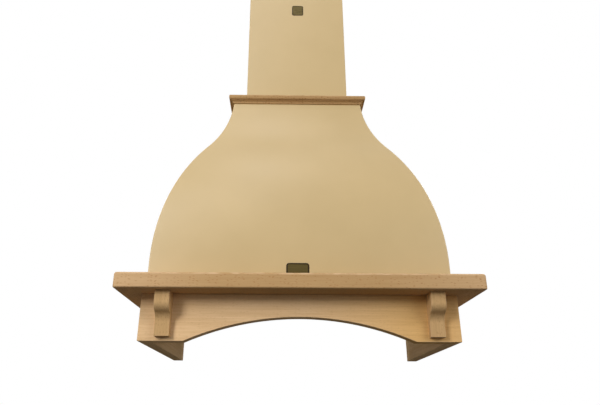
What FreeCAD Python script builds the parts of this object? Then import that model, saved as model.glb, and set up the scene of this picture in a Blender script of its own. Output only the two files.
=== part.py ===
import FreeCAD, Part
import math
import os
import re
import Sketcher

# A rustic wall-mounted hood: a bell of painted sheet steel under a square chimney, with
# beech mouldings, and the extractor that hangs on the wall inside it.
# X runs to the right along the wall, Y into the wall, Z up. The wall is the plane Y = 0.
# Levels below are written from the apron's lower edge. Every piece is then lowered by
# HOOK_LEVEL, which brings the origin to the middle of the two wall hooks.

SIZES = {
    # Mantel shelf: three mitred boards
    "mantel_width": 900,
    "mantel_depth": 520,
    "mantel_thick": 39,
    "mantel_front_board": 120,
    "mantel_side_board": 110,
    "mantel_top_round": 6,
    "mantel_low_round": 4,
    "mantel_corner": 8,
    "mitre_overcut": 5,
    # Apron: a frame of three boards under the mantel, with an arched front
    "apron_overhang": 54,
    "apron_setback": 68,
    "apron_height": 116,
    "apron_board": 30,
    "arch_land": 111,
    "arch_rise": 59.5,
    # Corbels on the apron's face
    "corbel_width": 36.5,
    "corbel_inset": 43.3,
    "corbel_top_reach": 45,
    "corbel_foot_reach": 16,
    "corbel_drop": 106.5,
    "corbel_head": 26.5,
    "corbel_curve": 45,
    # Bell of three S-curved sheets
    "sheet": 1.2,
    "shell_height": 633,
    "shell_foot": 42.3,
    "shell_waist": 441.7,
    "shell_waist_share": 0.362,
    "shell_side_setback": 62.7,
    "shell_front_setback": 70,
    "neck_side_margin": 37.5,
    "neck_front_margin": 37.3,
    "shell_flange": 20,
    # Cornice: three mitred mouldings on the bell's neck
    "cornice_overhang": 15.5,
    "cornice_height": 27.3,
    "cornice_cove": 7.5,
    "cornice_quirk": 1.4,
    "cornice_face": 17,
    "cornice_nose": 5,
    "cornice_round": 7.5,
    # Chimney: a fixed lower channel and an upper one that slides inside it
    "chimney_width": 338,
    "chimney_depth": 252.7,
    "chimney_sheet": 1,
    "chimney_length": 519,
    "chimney_gap": 0.3,
    "chimney_lip": 14,
    "upper_length": 480,
    "upper_show": 20,
    "bracket_height": 14,
    "bracket_below_top": 2,
    "bracket_sheet": 1.5,
    "bracket_ear": 24,
    "bracket_hole": 5,
    "bracket_spacing": 240,
    # Bare plates on the chimney and on the bell's foot
    "chimney_plate_width": 40,
    "chimney_plate_height": 44,
    "chimney_plate_drop": 91.8,
    "chimney_plate_round": 6,
    "chimney_plate_shift": 4,
    "canopy_plate_width": 59,
    "canopy_plate_height": 38,
    "canopy_plate_rise": 25,
    "canopy_plate_round": 7,
    "canopy_plate_shift": -5,
    "plate_thick": 1.2,
    # Top plate under the chimney
    "top_plate_edge": 3,
    "duct_window_width": 240,
    "duct_window_depth": 190,
    # Liner panel, the canopy's metal underside
    "liner_side_gap": 8.9,
    "liner_front_gap": 12,
    "liner_sheet": 1,
    "liner_rim": 12,
    "wall_gap": 2,
    # Grease filters, hinged at the back
    "filter_side_room": 19,
    "filter_front_room": 9,
    "filter_thick": 9,
    "filter_bar": 20,
    "filter_between": 40,
    "filter_back": 50,
    "filter_drop": 1,
    "filter_gap": 1,
    "filter_mesh_thick": 6,
    "filter_pin": 4,
    "filter_pin_cover": 1,
    "filter_pin_length": 5,
    "hanger_sheet": 2,
    "hanger_width": 14,
    "hinge_swing_room": 7,
    "running_gap": 0.08,
    # Filter latches
    "latch_width": 36,
    "latch_end_wall": 1.4,
    "latch_thick": 3,
    "latch_reach": 0.7,
    "latch_floor": 1,
    "latch_travel": 5,
    "latch_tab_width": 24,
    "latch_tab_thick": 3,
    "latch_tab_setback": 4,
    "latch_tab_drop": 7,
    "sliding_gap": 0.3,
    # Lamps and controls at the front of the liner
    "lamp_side_inset": 70,
    "lamp_diameter": 56,
    "lamp_bezel": 70,
    "lamp_bezel_thick": 2,
    "bezel_gap": 3,
    "lamp_lip": 1,
    "lens_thick": 3,
    "lamp_can_height": 26,
    "control_width": 170,
    "control_depth": 32,
    "control_thick": 3,
    "button_pitch": 28,
    "button_diameter": 11.4,
    "button_gap": 0.35,
    "button_show": 3,
    "button_length": 11,
    "button_travel": 2.5,
    "switch_box_height": 22,
    "switch_box_inset": 3,
    "button_head_room": 0.5,
    # Extractor casing and the plate that hangs it on the wall
    "casing_side_gap": 6,
    "casing_front_gap": 10,
    "casing_height": 245,
    "casing_sheet": 1,
    "casing_flange": 14,
    "back_plate_sheet": 1.5,
    "back_plate_rise": 40,
    "hook_rise": 20,
    "hook_edge": 40,
    "hook_spacing": 400,
    "hook_hole": 8.4,
    # Blower: volute housing, impeller and motor
    "blower_back_share": 0.75,
    "blower_axis": 127,
    "blower_width": 130,
    "volute_radius": 92,
    "volute_step": 12,
    "volute_wall": 2,
    "inlet_diameter": 112,
    "inlet_rim": 3,
    "inlet_lip": 4,
    "impeller_diameter": 156,
    "impeller_width": 104,
    "impeller_ring": 16,
    "impeller_sheet": 2,
    "blade_count": 24,
    "blade_sweep": 6,
    "blade_curve": 13,
    "blade_sheet": 1,
    "hub_diameter": 24,
    "hub_length": 28,
    "shaft_diameter": 8,
    "shaft_room": 2,
    "motor_diameter": 84,
    "motor_length": 70,
    "motor_cap": 5,
    "motor_ring": 10,
    "motor_arm": 12,
    "motor_plate": 50,
    # Outlet collar with two non-return flaps
    "collar_diameter": 150,
    "collar_wall": 1.5,
    "collar_height": 60,
    "collar_flange": 13,
    "collar_ledge": 3,
    "collar_ledge_height": 1.5,
    "flap_level": 22,
    "flap_gap": 1.2,
    "flap_sheet": 1.2,
    "flap_tube": 5,
    "flap_pin": 3,
    "flap_spread": 7,
    # Terminal box and its cable gland
    "terminal_width": 90,
    "terminal_depth": 60,
    "terminal_height": 34,
    "terminal_inset": 80,
    "gland_diameter": 18,
    "gland_length": 14,
    # Brackets and screws
    "angle_leg": 20,
    "angle_width": 30,
    "angle_sheet": 2,
    "angle_front_spacing": 475,
    "angle_side_back": 135,
    "angle_side_end": 82,
    "corbel_screw_top": 30,
    "corbel_screw_low": 70,
    "liner_screw_end": 60,
    "liner_screw_spacing": 256,
    "foot_screw_back": 63,
    "foot_screw_front": 190,
    "wood_screw": 4,
    "wood_screw_length": 18,
    "screw_head": 8,
    "screw_head_height": 2.5,
    "steel_screw": 4,
    "steel_screw_length": 6,
}

LEFT = 1
RIGHT = -1
OPENING_HALF = "(mantel_width / 2 - mantel_side_board)"
OPENING_DEPTH = "(mantel_depth - mantel_front_board)"
APRON_HALF = "(mantel_width / 2 - apron_overhang)"
APRON_FRONT = "(mantel_depth - apron_setback)"
FOOT_HALF = "(mantel_width / 2 - shell_side_setback)"
FOOT_DEPTH = "(mantel_depth - shell_front_setback)"
NECK_HALF = "(chimney_width / 2 + neck_side_margin)"
NECK_DEPTH = "(chimney_depth + neck_front_margin)"
LINER_HALF = f"({FOOT_HALF} - shell_flange - liner_side_gap)"
LINER_DEPTH = f"({FOOT_DEPTH} - shell_flange - liner_front_gap)"
FRONT_ROW = f"({OPENING_DEPTH} - bezel_gap - lamp_bezel / 2)"
CASING_HALF = f"({OPENING_HALF} - casing_side_gap - casing_flange)"
CASING_DEPTH = f"({FRONT_ROW} - lamp_diameter / 2 - casing_front_gap - casing_flange)"
VOLUTE_DEPTH = "(2 * volute_radius + 3 * volute_step)"
BLOWER_BACK = f"(blower_back_share * ({CASING_DEPTH} - 2 * casing_sheet - {VOLUTE_DEPTH}))"
AXIS_BACK = f"({BLOWER_BACK} + volute_radius + 3 * volute_step)"
OUTLET_BACK = f"(({BLOWER_BACK} + {AXIS_BACK}) / 2)"
BASE = "(apron_height + mantel_thick)"
NECK = f"({BASE} + shell_height)"
LINER_TOP = f"({BASE} + liner_sheet)"
CASING_TOP = f"({LINER_TOP} + casing_height)"
HOOK_LEVEL = f"({CASING_TOP} + hook_rise)"

doc = FreeCAD.newDocument("HoodCover")
sheet = doc.addObject("Spreadsheet::Sheet", "Sizes")
for row, (name, value) in enumerate(SIZES.items(), 1):
    sheet.set(f"A{row}", name)
    sheet.set(f"B{row}", str(value))
    sheet.setAlias(f"B{row}", name)
doc.recompute()
pieces = []


def linked(text):
    """An expression with the sheet's name put before each of its sizes."""
    return re.sub(r"[a-z][a-z_]*", lambda word: ("Sizes." if word.group() in SIZES else "") + word.group(),
                  str(text))


def number(text):
    """What an expression is worth now, for a sketch's first guess."""
    return float(sheet.evalExpression(linked(text)))


def tie(thing, setting, text):
    """Bind one setting of an object to an expression of the sheet's sizes."""
    thing.setExpression(setting, linked(text))


def new_body(label):
    """A body for one piece, lowered to the hooks' level."""
    body = doc.addObject("PartDesign::Body", "Body")
    body.Label = label
    tie(body, "Placement.Base.z", f"-{HOOK_LEVEL}")
    pieces.append(body)
    return body


def place_point(sketch, curve, end, across, up):
    """Fix one point of a sketch at its distances from the origin."""
    for kind, text in (("DistanceX", across), ("DistanceY", up)):
        index = sketch.addConstraint(Sketcher.Constraint(kind, -1, 1, curve, end, number(text)))
        tie(sketch, f"Constraints[{index}]", text)


def draw_circle(sketch, across, up, radius):
    """Draw one circle with its centre and radius bound."""
    centre = FreeCAD.Vector(number(across), number(up), 0)
    curve = sketch.addGeometry(Part.Circle(centre, FreeCAD.Vector(0, 0, 1), number(radius)))
    place_point(sketch, curve, 3, across, up)
    index = sketch.addConstraint(Sketcher.Constraint("Radius", curve, number(radius)))
    tie(sketch, f"Constraints[{index}]", radius)


def short_arc(start, end, turn, radius):
    """The arc of under half a circle from start to end that turns left or right."""
    chord = end - start
    rise = math.sqrt(radius * radius - chord.Length * chord.Length / 4)
    sideways = FreeCAD.Vector(-chord.y, chord.x, 0).normalize()
    centre = (start + end) * 0.5 + sideways * (rise * turn)
    first, last = (start, end) if turn == LEFT else (end, start)
    begin = math.atan2(first.y - centre.y, first.x - centre.x)
    finish = math.atan2(last.y - centre.y, last.x - centre.x)
    circle = Part.Circle(centre, FreeCAD.Vector(0, 0, 1), radius)
    return Part.ArcOfCircle(circle, begin, finish if finish > begin else finish + 2 * math.pi)


def draw_outline(sketch, points):
    """Draw a closed outline. A point that also names a turn and a radius starts an arc."""
    corners = [FreeCAD.Vector(number(point[0]), number(point[1]), 0) for point in points]
    curves = []
    for place, point in enumerate(points):
        start = corners[place]
        end = corners[(place + 1) % len(points)]
        if len(point) == 2:
            curves.append((sketch.addGeometry(Part.LineSegment(start, end)), 1, 2))
            continue
        turn, radius = point[2:]
        curve = sketch.addGeometry(short_arc(start, end, turn, number(radius)))
        curves.append((curve, 1, 2) if turn == LEFT else (curve, 2, 1))
    for place, (curve, start, end) in enumerate(curves):
        following, its_start, _ = curves[(place + 1) % len(curves)]
        sketch.addConstraint(Sketcher.Constraint("Coincident", curve, end, following, its_start))
    for (curve, start, _), point in zip(curves, points):
        place_point(sketch, curve, start, point[0], point[1])
        if len(point) == 4:
            index = sketch.addConstraint(Sketcher.Constraint("Radius", curve, number(point[3])))
            tie(sketch, f"Constraints[{index}]", point[3])


def draw(body, plane, level, loops):
    """A sketch on one of the body's origin planes, moved along the plane's normal."""
    sketch = body.newObject("Sketcher::SketchObject", "Sketch")
    support = next(item for item in body.Origin.OriginFeatures if item.Role == plane + "_Plane")
    sketch.AttachmentSupport = [(support, "")]
    sketch.MapMode = "FlatFace"
    tie(sketch, "AttachmentOffset.Base.z", level)
    for loop in loops:
        if loop[0] == "circle":
            draw_circle(sketch, *loop[1:])
        else:
            draw_outline(sketch, loop)
    return sketch


def sweep(kind, body, plane, low, high, loops):
    """Add or cut the area of some loops between two levels along the plane's axis.

    The XZ plane faces the front, so there the drawing starts at the level further back.
    """
    level = f"-({high})" if plane == "XZ" else low
    sketch = draw(body, plane, level, loops)
    feature = body.newObject("PartDesign::" + kind, kind)
    feature.Profile = sketch
    feature.Reversed = kind == "Pocket"
    tie(feature, "Length", f"({high}) - ({low})")
    sketch.Visibility = False
    return feature


def pad(body, plane, low, high, *loops):
    return sweep("Pad", body, plane, low, high, loops)


def cut(body, plane, low, high, *loops):
    return sweep("Pocket", body, plane, low, high, loops)


def block(left, right, low, high):
    """The outline of a rectangle."""
    return [(left, low), (right, low), (right, high), (left, high)]


def rounded_block(width, low, high, radius, middle="0"):
    """The outline of a rectangle with round corners, centred across on its middle."""
    start = f"({middle} - ({width}) / 2)"
    end = f"({middle} + ({width}) / 2)"
    return [
        (f"{start} + {radius}", low), (f"{end} - {radius}", low, LEFT, radius),
        (end, f"{low} + {radius}"), (end, f"{high} - {radius}", LEFT, radius),
        (f"{end} - {radius}", high), (f"{start} + {radius}", high, LEFT, radius),
        (start, f"{high} - {radius}"), (start, f"{low} + {radius}", LEFT, radius),
    ]


def backwards(points):
    """The same line drawn the other way."""
    turned = []
    for place in range(len(points) - 1, -1, -1):
        arc = points[place - 1][2:] if place > 0 else ()
        turned.append(points[place][:2] + ((-arc[0], arc[1]) if arc else ()))
    return turned


def flipped(points):
    """The same line on the other side of the middle."""
    return [(f"-({point[0]})", point[1]) + ((-point[2], point[3]) if len(point) == 4 else ())
            for point in points]


def mirror(body, label):
    """The right-hand twin of a left-hand piece."""
    twin = doc.addObject("Part::Mirroring", "Mirror")
    twin.Source = body
    twin.Normal = (1, 0, 0)
    twin.Label = label
    pieces.append(twin)
    return twin


def mitre(body, half_width, depth, inner_half, inner_depth, low, high, side):
    """Cut a board's left end along the line from the outer to the inner corner."""
    beyond = "mitre_overcut"
    corner = (f"-({half_width})", f"-({depth})")
    inner = (f"-({inner_half})", f"-({inner_depth})")
    if side == "front":
        rest = [(inner[0], f"{inner[1]} + {beyond}"), (f"{corner[0]} - {beyond}", f"{inner[1]} + {beyond}"),
                (f"{corner[0]} - {beyond}", corner[1])]
    else:
        rest = [(f"{inner[0]} + {beyond}", inner[1]), (f"{inner[0]} + {beyond}", f"{corner[1]} - {beyond}"),
                (corner[0], f"{corner[1]} - {beyond}")]
    loop = [corner, inner] + rest
    loops = [loop, flipped(loop)] if side == "front" else [loop]
    cut(body, "XY", low, high, *loops)


def screws(label, plane, seat, heads_up, places, shank, length):
    """A set of equal pan-head screws whose heads sit on one level."""
    body = new_body(label)
    head = [("circle", across, up, "screw_head / 2") for across, up in places]
    pin = [("circle", across, up, f"({shank}) / 2") for across, up in places]
    body.AllowCompound = True
    if heads_up:
        pad(body, plane, seat, f"{seat} + screw_head_height", *head)
        pad(body, plane, f"{seat} - {length}", seat, *pin)
    else:
        pad(body, plane, f"{seat} - screw_head_height", seat, *head)
        pad(body, plane, seat, f"{seat} + {length}", *pin)
    return body


def drill(body, plane, low, high, places, diameter):
    cut(body, plane, low, high, *[("circle", across, up, f"({diameter}) / 2") for across, up in places])


# --- Where the screws and brackets go ----------------------------------------------------

APRON_BACK = f"({APRON_FRONT} - apron_board)"
APRON_INSIDE = f"({APRON_HALF} - apron_board)"
FRONT_ANGLES = ["-angle_front_spacing / 2", "angle_front_spacing / 2"]
SIDE_ANGLES = ["-angle_side_back", f"-({APRON_BACK} - angle_side_end)"]
CORBEL_SCREW_LEVELS = ["apron_height - corbel_screw_top", "apron_height - corbel_screw_low"]
CORBEL_MIDDLE = f"({APRON_HALF} - corbel_inset - corbel_width / 2)"
CORBEL_PLACES = [(f"{side} * {CORBEL_MIDDLE}", level) for side in (-1, 1) for level in CORBEL_SCREW_LEVELS]
FLANGE_MIDDLE = f"({CASING_HALF} + casing_flange / 2)"
LINER_SCREWS = [(f"{side} * {FLANGE_MIDDLE}", back) for side in (-1, 1)
                for back in ("-liner_screw_end", f"-({CASING_DEPTH} - liner_screw_end)")]
LINER_SCREWS += [(f"{side} * liner_screw_spacing / 2", f"-({CASING_DEPTH} + casing_flange / 2)")
                 for side in (-1, 1)]
FOOT_MIDDLE = "(chimney_width / 2 - chimney_sheet - chimney_lip / 2)"
CHIMNEY_SCREWS = [(f"{side} * {FOOT_MIDDLE}", back) for side in (-1, 1)
                  for back in ("-foot_screw_back", "-foot_screw_front")]


# --- Mantel shelf ------------------------------------------------------------------------

def rounded_edge(outer, inner):
    """A mantel board's section: its outer edge is rounded, more above than below."""
    return [
        (f"-({inner})", "apron_height"),
        (f"-({outer}) + mantel_low_round", "apron_height", RIGHT, "mantel_low_round"),
        (f"-({outer})", "apron_height + mantel_low_round"),
        (f"-({outer})", f"{BASE} - mantel_top_round", RIGHT, "mantel_top_round"),
        (f"-({outer}) + mantel_top_round", BASE),
        (f"-({inner})", BASE),
    ]


def round_corner(body, loops_on_both_sides):
    """Round the mantel's upright corner as seen from above."""
    corner = [
        ("-mantel_width / 2", "-mantel_depth + mantel_corner", LEFT, "mantel_corner"),
        ("-mantel_width / 2 + mantel_corner", "-mantel_depth"),
        ("-mantel_width / 2 + mantel_corner", "-mantel_depth - mantel_corner"),
        ("-mantel_width / 2 - mantel_corner", "-mantel_depth - mantel_corner"),
        ("-mantel_width / 2 - mantel_corner", "-mantel_depth + mantel_corner"),
    ]
    loops = [corner, flipped(corner)] if loops_on_both_sides else [corner]
    cut(body, "XY", "apron_height", BASE, *loops)


def mantel_boards():
    """A front board and two side boards, mitred where they meet."""
    front = new_body("mantel_front")
    pad(front, "YZ", "-mantel_width / 2", "mantel_width / 2", rounded_edge("mantel_depth", OPENING_DEPTH))
    mitre(front, "mantel_width / 2", "mantel_depth", OPENING_HALF, OPENING_DEPTH, "apron_height", BASE,
          "front")
    round_corner(front, True)
    middle = f"-({APRON_BACK} - angle_leg / 2)"
    drill(front, "XY", "apron_height", "apron_height + wood_screw_length - angle_sheet",
          [(across, middle) for across in FRONT_ANGLES], "wood_screw + 2 * running_gap")
    side = new_body("mantel_left")
    pad(side, "XZ", "-mantel_depth", "0", rounded_edge("mantel_width / 2", OPENING_HALF))
    mitre(side, "mantel_width / 2", "mantel_depth", OPENING_HALF, OPENING_DEPTH, "apron_height", BASE, "side")
    round_corner(side, False)
    drill(side, "XY", "apron_height", "apron_height + wood_screw_length - angle_sheet",
          [(f"-({APRON_INSIDE} - angle_leg / 2)", back) for back in SIDE_ANGLES],
          "wood_screw + 2 * running_gap")
    mirror(side, "mantel_right")


# --- Apron and corbels -------------------------------------------------------------------

def apron_boards():
    """The arched front board covers the ends of the two side boards."""
    front = new_body("apron_front")
    arch_half = f"({APRON_HALF} - arch_land)"
    arch_radius = f"({arch_half} ^ 2 + arch_rise ^ 2) / (2 * arch_rise)"
    pad(front, "XZ", f"-{APRON_FRONT}", f"-{APRON_BACK}", [
        (f"-{APRON_HALF}", "0"),
        (f"-{arch_half}", "0", RIGHT, arch_radius),
        (arch_half, "0"),
        (APRON_HALF, "0"),
        (APRON_HALF, "apron_height"),
        (f"-{APRON_HALF}", "apron_height"),
    ])
    level = "apron_height - angle_leg / 2"
    drill(front, "XZ", f"-{APRON_BACK} - wood_screw_length + angle_sheet", f"-{APRON_BACK}",
          [(across, level) for across in FRONT_ANGLES], "wood_screw + 2 * running_gap")
    drill(front, "XZ", f"-{APRON_FRONT}", f"-{APRON_BACK}", CORBEL_PLACES, "wood_screw + 2 * running_gap")
    side = new_body("apron_left")
    pad(side, "XY", "0", "apron_height",
        block(f"-{APRON_HALF}", f"-{APRON_INSIDE}", f"-{APRON_BACK}", "0"))
    drill(side, "YZ", f"-{APRON_INSIDE} - wood_screw_length + angle_sheet", f"-{APRON_INSIDE}",
          [(back, level) for back in SIDE_ANGLES], "wood_screw + 2 * running_gap")
    mirror(side, "apron_right")


def corbels():
    """A corbel drops from under the mantel, and an S curve thins it towards its foot."""
    body = new_body("corbel_left")
    front = APRON_FRONT
    half_step = "((corbel_top_reach - corbel_foot_reach) / 2)"
    curve_radius = f"({half_step} ^ 2 + (corbel_curve / 2) ^ 2) / (2 * {half_step})"
    curve_top = "(apron_height - corbel_head)"
    pad(body, "YZ", f"-({CORBEL_MIDDLE} + corbel_width / 2)", f"-({CORBEL_MIDDLE} - corbel_width / 2)", [
        (f"-{front}", "apron_height - corbel_drop"),
        (f"-{front} - corbel_foot_reach", "apron_height - corbel_drop"),
        (f"-{front} - corbel_foot_reach", f"{curve_top} - corbel_curve", LEFT, curve_radius),
        (f"-{front} - corbel_foot_reach - {half_step}", f"{curve_top} - corbel_curve / 2", RIGHT,
         curve_radius),
        (f"-{front} - corbel_top_reach", curve_top),
        (f"-{front} - corbel_top_reach", "apron_height"),
        (f"-{front}", "apron_height"),
    ])
    drill(body, "XZ", f"-{APRON_BACK} - apron_board - wood_screw_length / 2", f"-{front}",
          CORBEL_PLACES[:2], "wood_screw + 2 * running_gap")
    mirror(body, "corbel_right")


def angle_brackets():
    """Six steel angles tie the apron's boards to the mantel, each with a screw in either leg."""
    body = new_body("apron_angles")
    body.AllowCompound = True
    corner = "apron_height"
    for across in FRONT_ANGLES:
        pad(body, "YZ", f"{across} - angle_width / 2", f"{across} + angle_width / 2", [
            (f"-{APRON_BACK}", corner),
            (f"-{APRON_BACK}", f"{corner} - angle_leg"),
            (f"-{APRON_BACK} + angle_sheet", f"{corner} - angle_leg"),
            (f"-{APRON_BACK} + angle_sheet", f"{corner} - angle_sheet"),
            (f"-{APRON_BACK} + angle_leg", f"{corner} - angle_sheet"),
            (f"-{APRON_BACK} + angle_leg", corner),
        ])
    for back in SIDE_ANGLES:
        section = [
            (f"-{APRON_INSIDE}", corner),
            (f"-{APRON_INSIDE}", f"{corner} - angle_leg"),
            (f"-{APRON_INSIDE} + angle_sheet", f"{corner} - angle_leg"),
            (f"-{APRON_INSIDE} + angle_sheet", f"{corner} - angle_sheet"),
            (f"-{APRON_INSIDE} + angle_leg", f"{corner} - angle_sheet"),
            (f"-{APRON_INSIDE} + angle_leg", corner),
        ]
        pad(body, "XZ", f"{back} - angle_width / 2", f"{back} + angle_width / 2", section, flipped(section))
    hole = "wood_screw + 2 * running_gap"
    upward = [(across, f"-({APRON_BACK} - angle_leg / 2)") for across in FRONT_ANGLES]
    for side in (-1, 1):
        upward += [(f"{side} * ({APRON_INSIDE} - angle_leg / 2)", back) for back in SIDE_ANGLES]
    drill(body, "XY", f"{corner} - angle_sheet", corner, upward, hole)
    level = f"{corner} - angle_leg / 2"
    drill(body, "XZ", f"-{APRON_BACK}", f"-{APRON_BACK} + angle_sheet",
          [(across, level) for across in FRONT_ANGLES], hole)
    drill(body, "YZ", f"-{APRON_INSIDE}", f"{APRON_INSIDE}", [(back, level) for back in SIDE_ANGLES], hole)
    screws("mantel_screws", "XY", f"({corner} - angle_sheet)", False, upward, "wood_screw",
           "wood_screw_length")
    sideways = screws("apron_screws", "XZ", f"-{APRON_BACK} + angle_sheet", True,
                      [(across, level) for across in FRONT_ANGLES], "wood_screw", "wood_screw_length")
    heads = [("circle", back, level, "screw_head / 2") for back in SIDE_ANGLES]
    pins = [("circle", back, level, "wood_screw / 2") for back in SIDE_ANGLES]
    leg = f"({APRON_INSIDE} - angle_sheet)"
    pad(sideways, "YZ", f"-{leg}", f"-{leg} + screw_head_height", *heads)
    pad(sideways, "YZ", f"-{leg} - wood_screw_length", f"-{leg}", *pins)
    pad(sideways, "YZ", f"{leg} - screw_head_height", leg, *heads)
    pad(sideways, "YZ", leg, f"{leg} + wood_screw_length", *pins)
    screws("corbel_screws", "XZ", f"-{APRON_BACK}", True, CORBEL_PLACES, "wood_screw",
           "(apron_board + wood_screw_length / 2)")


# --- Bell --------------------------------------------------------------------------------

def foot_radius(foot, waist):
    """The lower arc leaves the bell's foot straight upward and ends at the waist."""
    step = f"(({foot}) - ({waist}))"
    return f"({step} ^ 2 + (shell_waist - shell_foot) ^ 2) / (2 * {step})"


def neck_radius(foot, waist, neck):
    """The upper arc goes on in the lower one's direction at the waist and ends at the neck."""
    low_step = f"(({foot}) - ({waist}))"
    low_rise = "(shell_waist - shell_foot)"
    high_step = f"(({waist}) - ({neck}))"
    high_rise = "(shell_height - shell_waist)"
    squares = f"({low_step} ^ 2 + {low_rise} ^ 2)"
    leaning = f"(2 * {low_step} * {low_rise} / {squares})"
    upright = f"(({low_rise} ^ 2 - {low_step} ^ 2) / {squares})"
    away = f"({high_rise} * {leaning} - {high_step} * {upright})"
    return f"({high_step} ^ 2 + {high_rise} ^ 2) / (2 * {away})"


def bell_line(view, inset="0"):
    """The bell's S line from foot to neck in the front or the side view, moved inward."""
    foot, neck = (FOOT_HALF, NECK_HALF) if view == "front" else (FOOT_DEPTH, NECK_DEPTH)
    waist = f"({neck} + shell_waist_share * ({foot} - {neck}))"
    return [
        (f"-({foot}) + {inset}", BASE),
        (f"-({foot}) + {inset}", f"{BASE} + shell_foot", RIGHT, foot_radius(foot, waist)),
        (f"-({waist}) + {inset}", f"{BASE} + shell_waist", LEFT, neck_radius(foot, waist, neck)),
        (f"-({neck}) + {inset}", NECK),
    ]


def bell_sheets():
    """Three bent sheets: the front one covers the front edges of the two side ones."""
    beyond_side = f"-{FOOT_HALF} - shell_flange"
    beyond_front = f"-{FOOT_DEPTH} - shell_flange"
    front = new_body("shell_front")
    pad(front, "YZ", f"-{FOOT_HALF}", FOOT_HALF, bell_line("side") + backwards(bell_line("side", "sheet")))
    outside = bell_line("front") + [(beyond_side, NECK), (beyond_side, BASE)]
    cut(front, "XZ", f"-{FOOT_DEPTH}", "0", outside, flipped(outside))
    for half, depth, low, high in (
            (f"({FOOT_HALF} - sheet)", FOOT_DEPTH, BASE, f"{BASE} + sheet"),
            (f"({NECK_HALF} - sheet)", NECK_DEPTH, f"{NECK} - sheet", NECK)):
        pad(front, "XY", low, high,
            block(f"-{half}", half, f"-{depth} + sheet / 2", f"-{depth} + shell_flange"))
    side = new_body("shell_left")
    pad(side, "XZ", f"-{FOOT_DEPTH}", "0", bell_line("front") + backwards(bell_line("front", "sheet")))
    ahead = bell_line("side", "sheet") + [(beyond_front, NECK), (beyond_front, BASE)]
    cut(side, "YZ", f"-{FOOT_HALF}", "0", ahead)
    for half, depth, low, high in (
            (FOOT_HALF, FOOT_DEPTH, BASE, f"{BASE} + sheet"),
            (NECK_HALF, NECK_DEPTH, f"{NECK} - sheet", NECK)):
        pad(side, "XY", low, high,
            block(f"-{half} + sheet / 2", f"-{half} + shell_flange", f"-{depth} + shell_flange", "0"))
    pad(side, "XZ", "-sheet", "0",
        bell_line("front", "sheet") + backwards(bell_line("front", "shell_flange")))
    mirror(side, "shell_right")


def top_plate():
    """The plate under the bell's neck flanges carries the chimney and lets the duct through."""
    body = new_body("shell_top_plate")
    high = f"({NECK} - sheet)"
    low = f"({high} - sheet)"
    edge = f"({NECK_HALF} - top_plate_edge)"
    pad(body, "XY", low, high, block(f"-{edge}", edge, f"-{NECK_DEPTH} + top_plate_edge", "-wall_gap"))
    cut(body, "XY", low, high, block("-duct_window_width / 2", "duct_window_width / 2",
                                     f"-{OUTLET_BACK} - duct_window_depth / 2",
                                     f"-{OUTLET_BACK} + duct_window_depth / 2"))
    drill(body, "XY", low, high, CHIMNEY_SCREWS, "steel_screw + 2 * running_gap")


# --- Cornice -----------------------------------------------------------------------------

def cornice_section(outer, inner):
    """The moulding's section: a cove below, a quirk, and above it a face with both its edges rounded."""
    nose_low = f"({NECK} + cornice_height - cornice_face)"
    nose_high = f"({NECK} + cornice_height)"
    neck_edge = f"-({outer}) + cornice_nose"
    return [
        (f"-({inner})", NECK),
        (f"{neck_edge} + cornice_cove", NECK, LEFT, "cornice_cove"),
        (neck_edge, f"{NECK} + cornice_cove"),
        (f"{neck_edge} + cornice_quirk", f"{NECK} + cornice_cove"),
        (f"{neck_edge} + cornice_quirk", nose_low),
        (neck_edge, nose_low, RIGHT, "cornice_nose"),
        (f"-({outer})", f"{nose_low} + cornice_nose"),
        (f"-({outer})", f"{nose_high} - cornice_round", RIGHT, "cornice_round"),
        (f"-({outer}) + cornice_round", nose_high),
        (f"-({inner})", nose_high),
    ]


def cornice_boards():
    """Three moulded boards around the chimney's foot, mitred at the front corners."""
    half = f"({NECK_HALF} + cornice_overhang)"
    depth = f"({NECK_DEPTH} + cornice_overhang)"
    inner_half = "(chimney_width / 2 + sliding_gap)"
    inner_depth = "(chimney_depth + sliding_gap)"
    high = f"{NECK} + cornice_height"
    front = new_body("cornice_front")
    pad(front, "YZ", f"-{half}", half, cornice_section(depth, inner_depth))
    mitre(front, half, depth, inner_half, inner_depth, NECK, high, "front")
    side = new_body("cornice_left")
    pad(side, "XZ", f"-{depth}", "0", cornice_section(half, inner_half))
    mitre(side, half, depth, inner_half, inner_depth, NECK, high, "side")
    mirror(side, "cornice_right")


# --- Chimney -----------------------------------------------------------------------------

def channel(half, depth, wall, back):
    """The section of a three-sided sheet channel whose open side faces the wall."""
    return [
        (f"-({half})", back), (f"-({half})", f"-({depth})"), (half, f"-({depth})"), (half, back),
        (f"{half} - {wall}", back), (f"{half} - {wall}", f"-({depth}) + {wall}"),
        (f"-({half}) + {wall}", f"-({depth}) + {wall}"), (f"-({half}) + {wall}", back),
    ]


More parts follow.
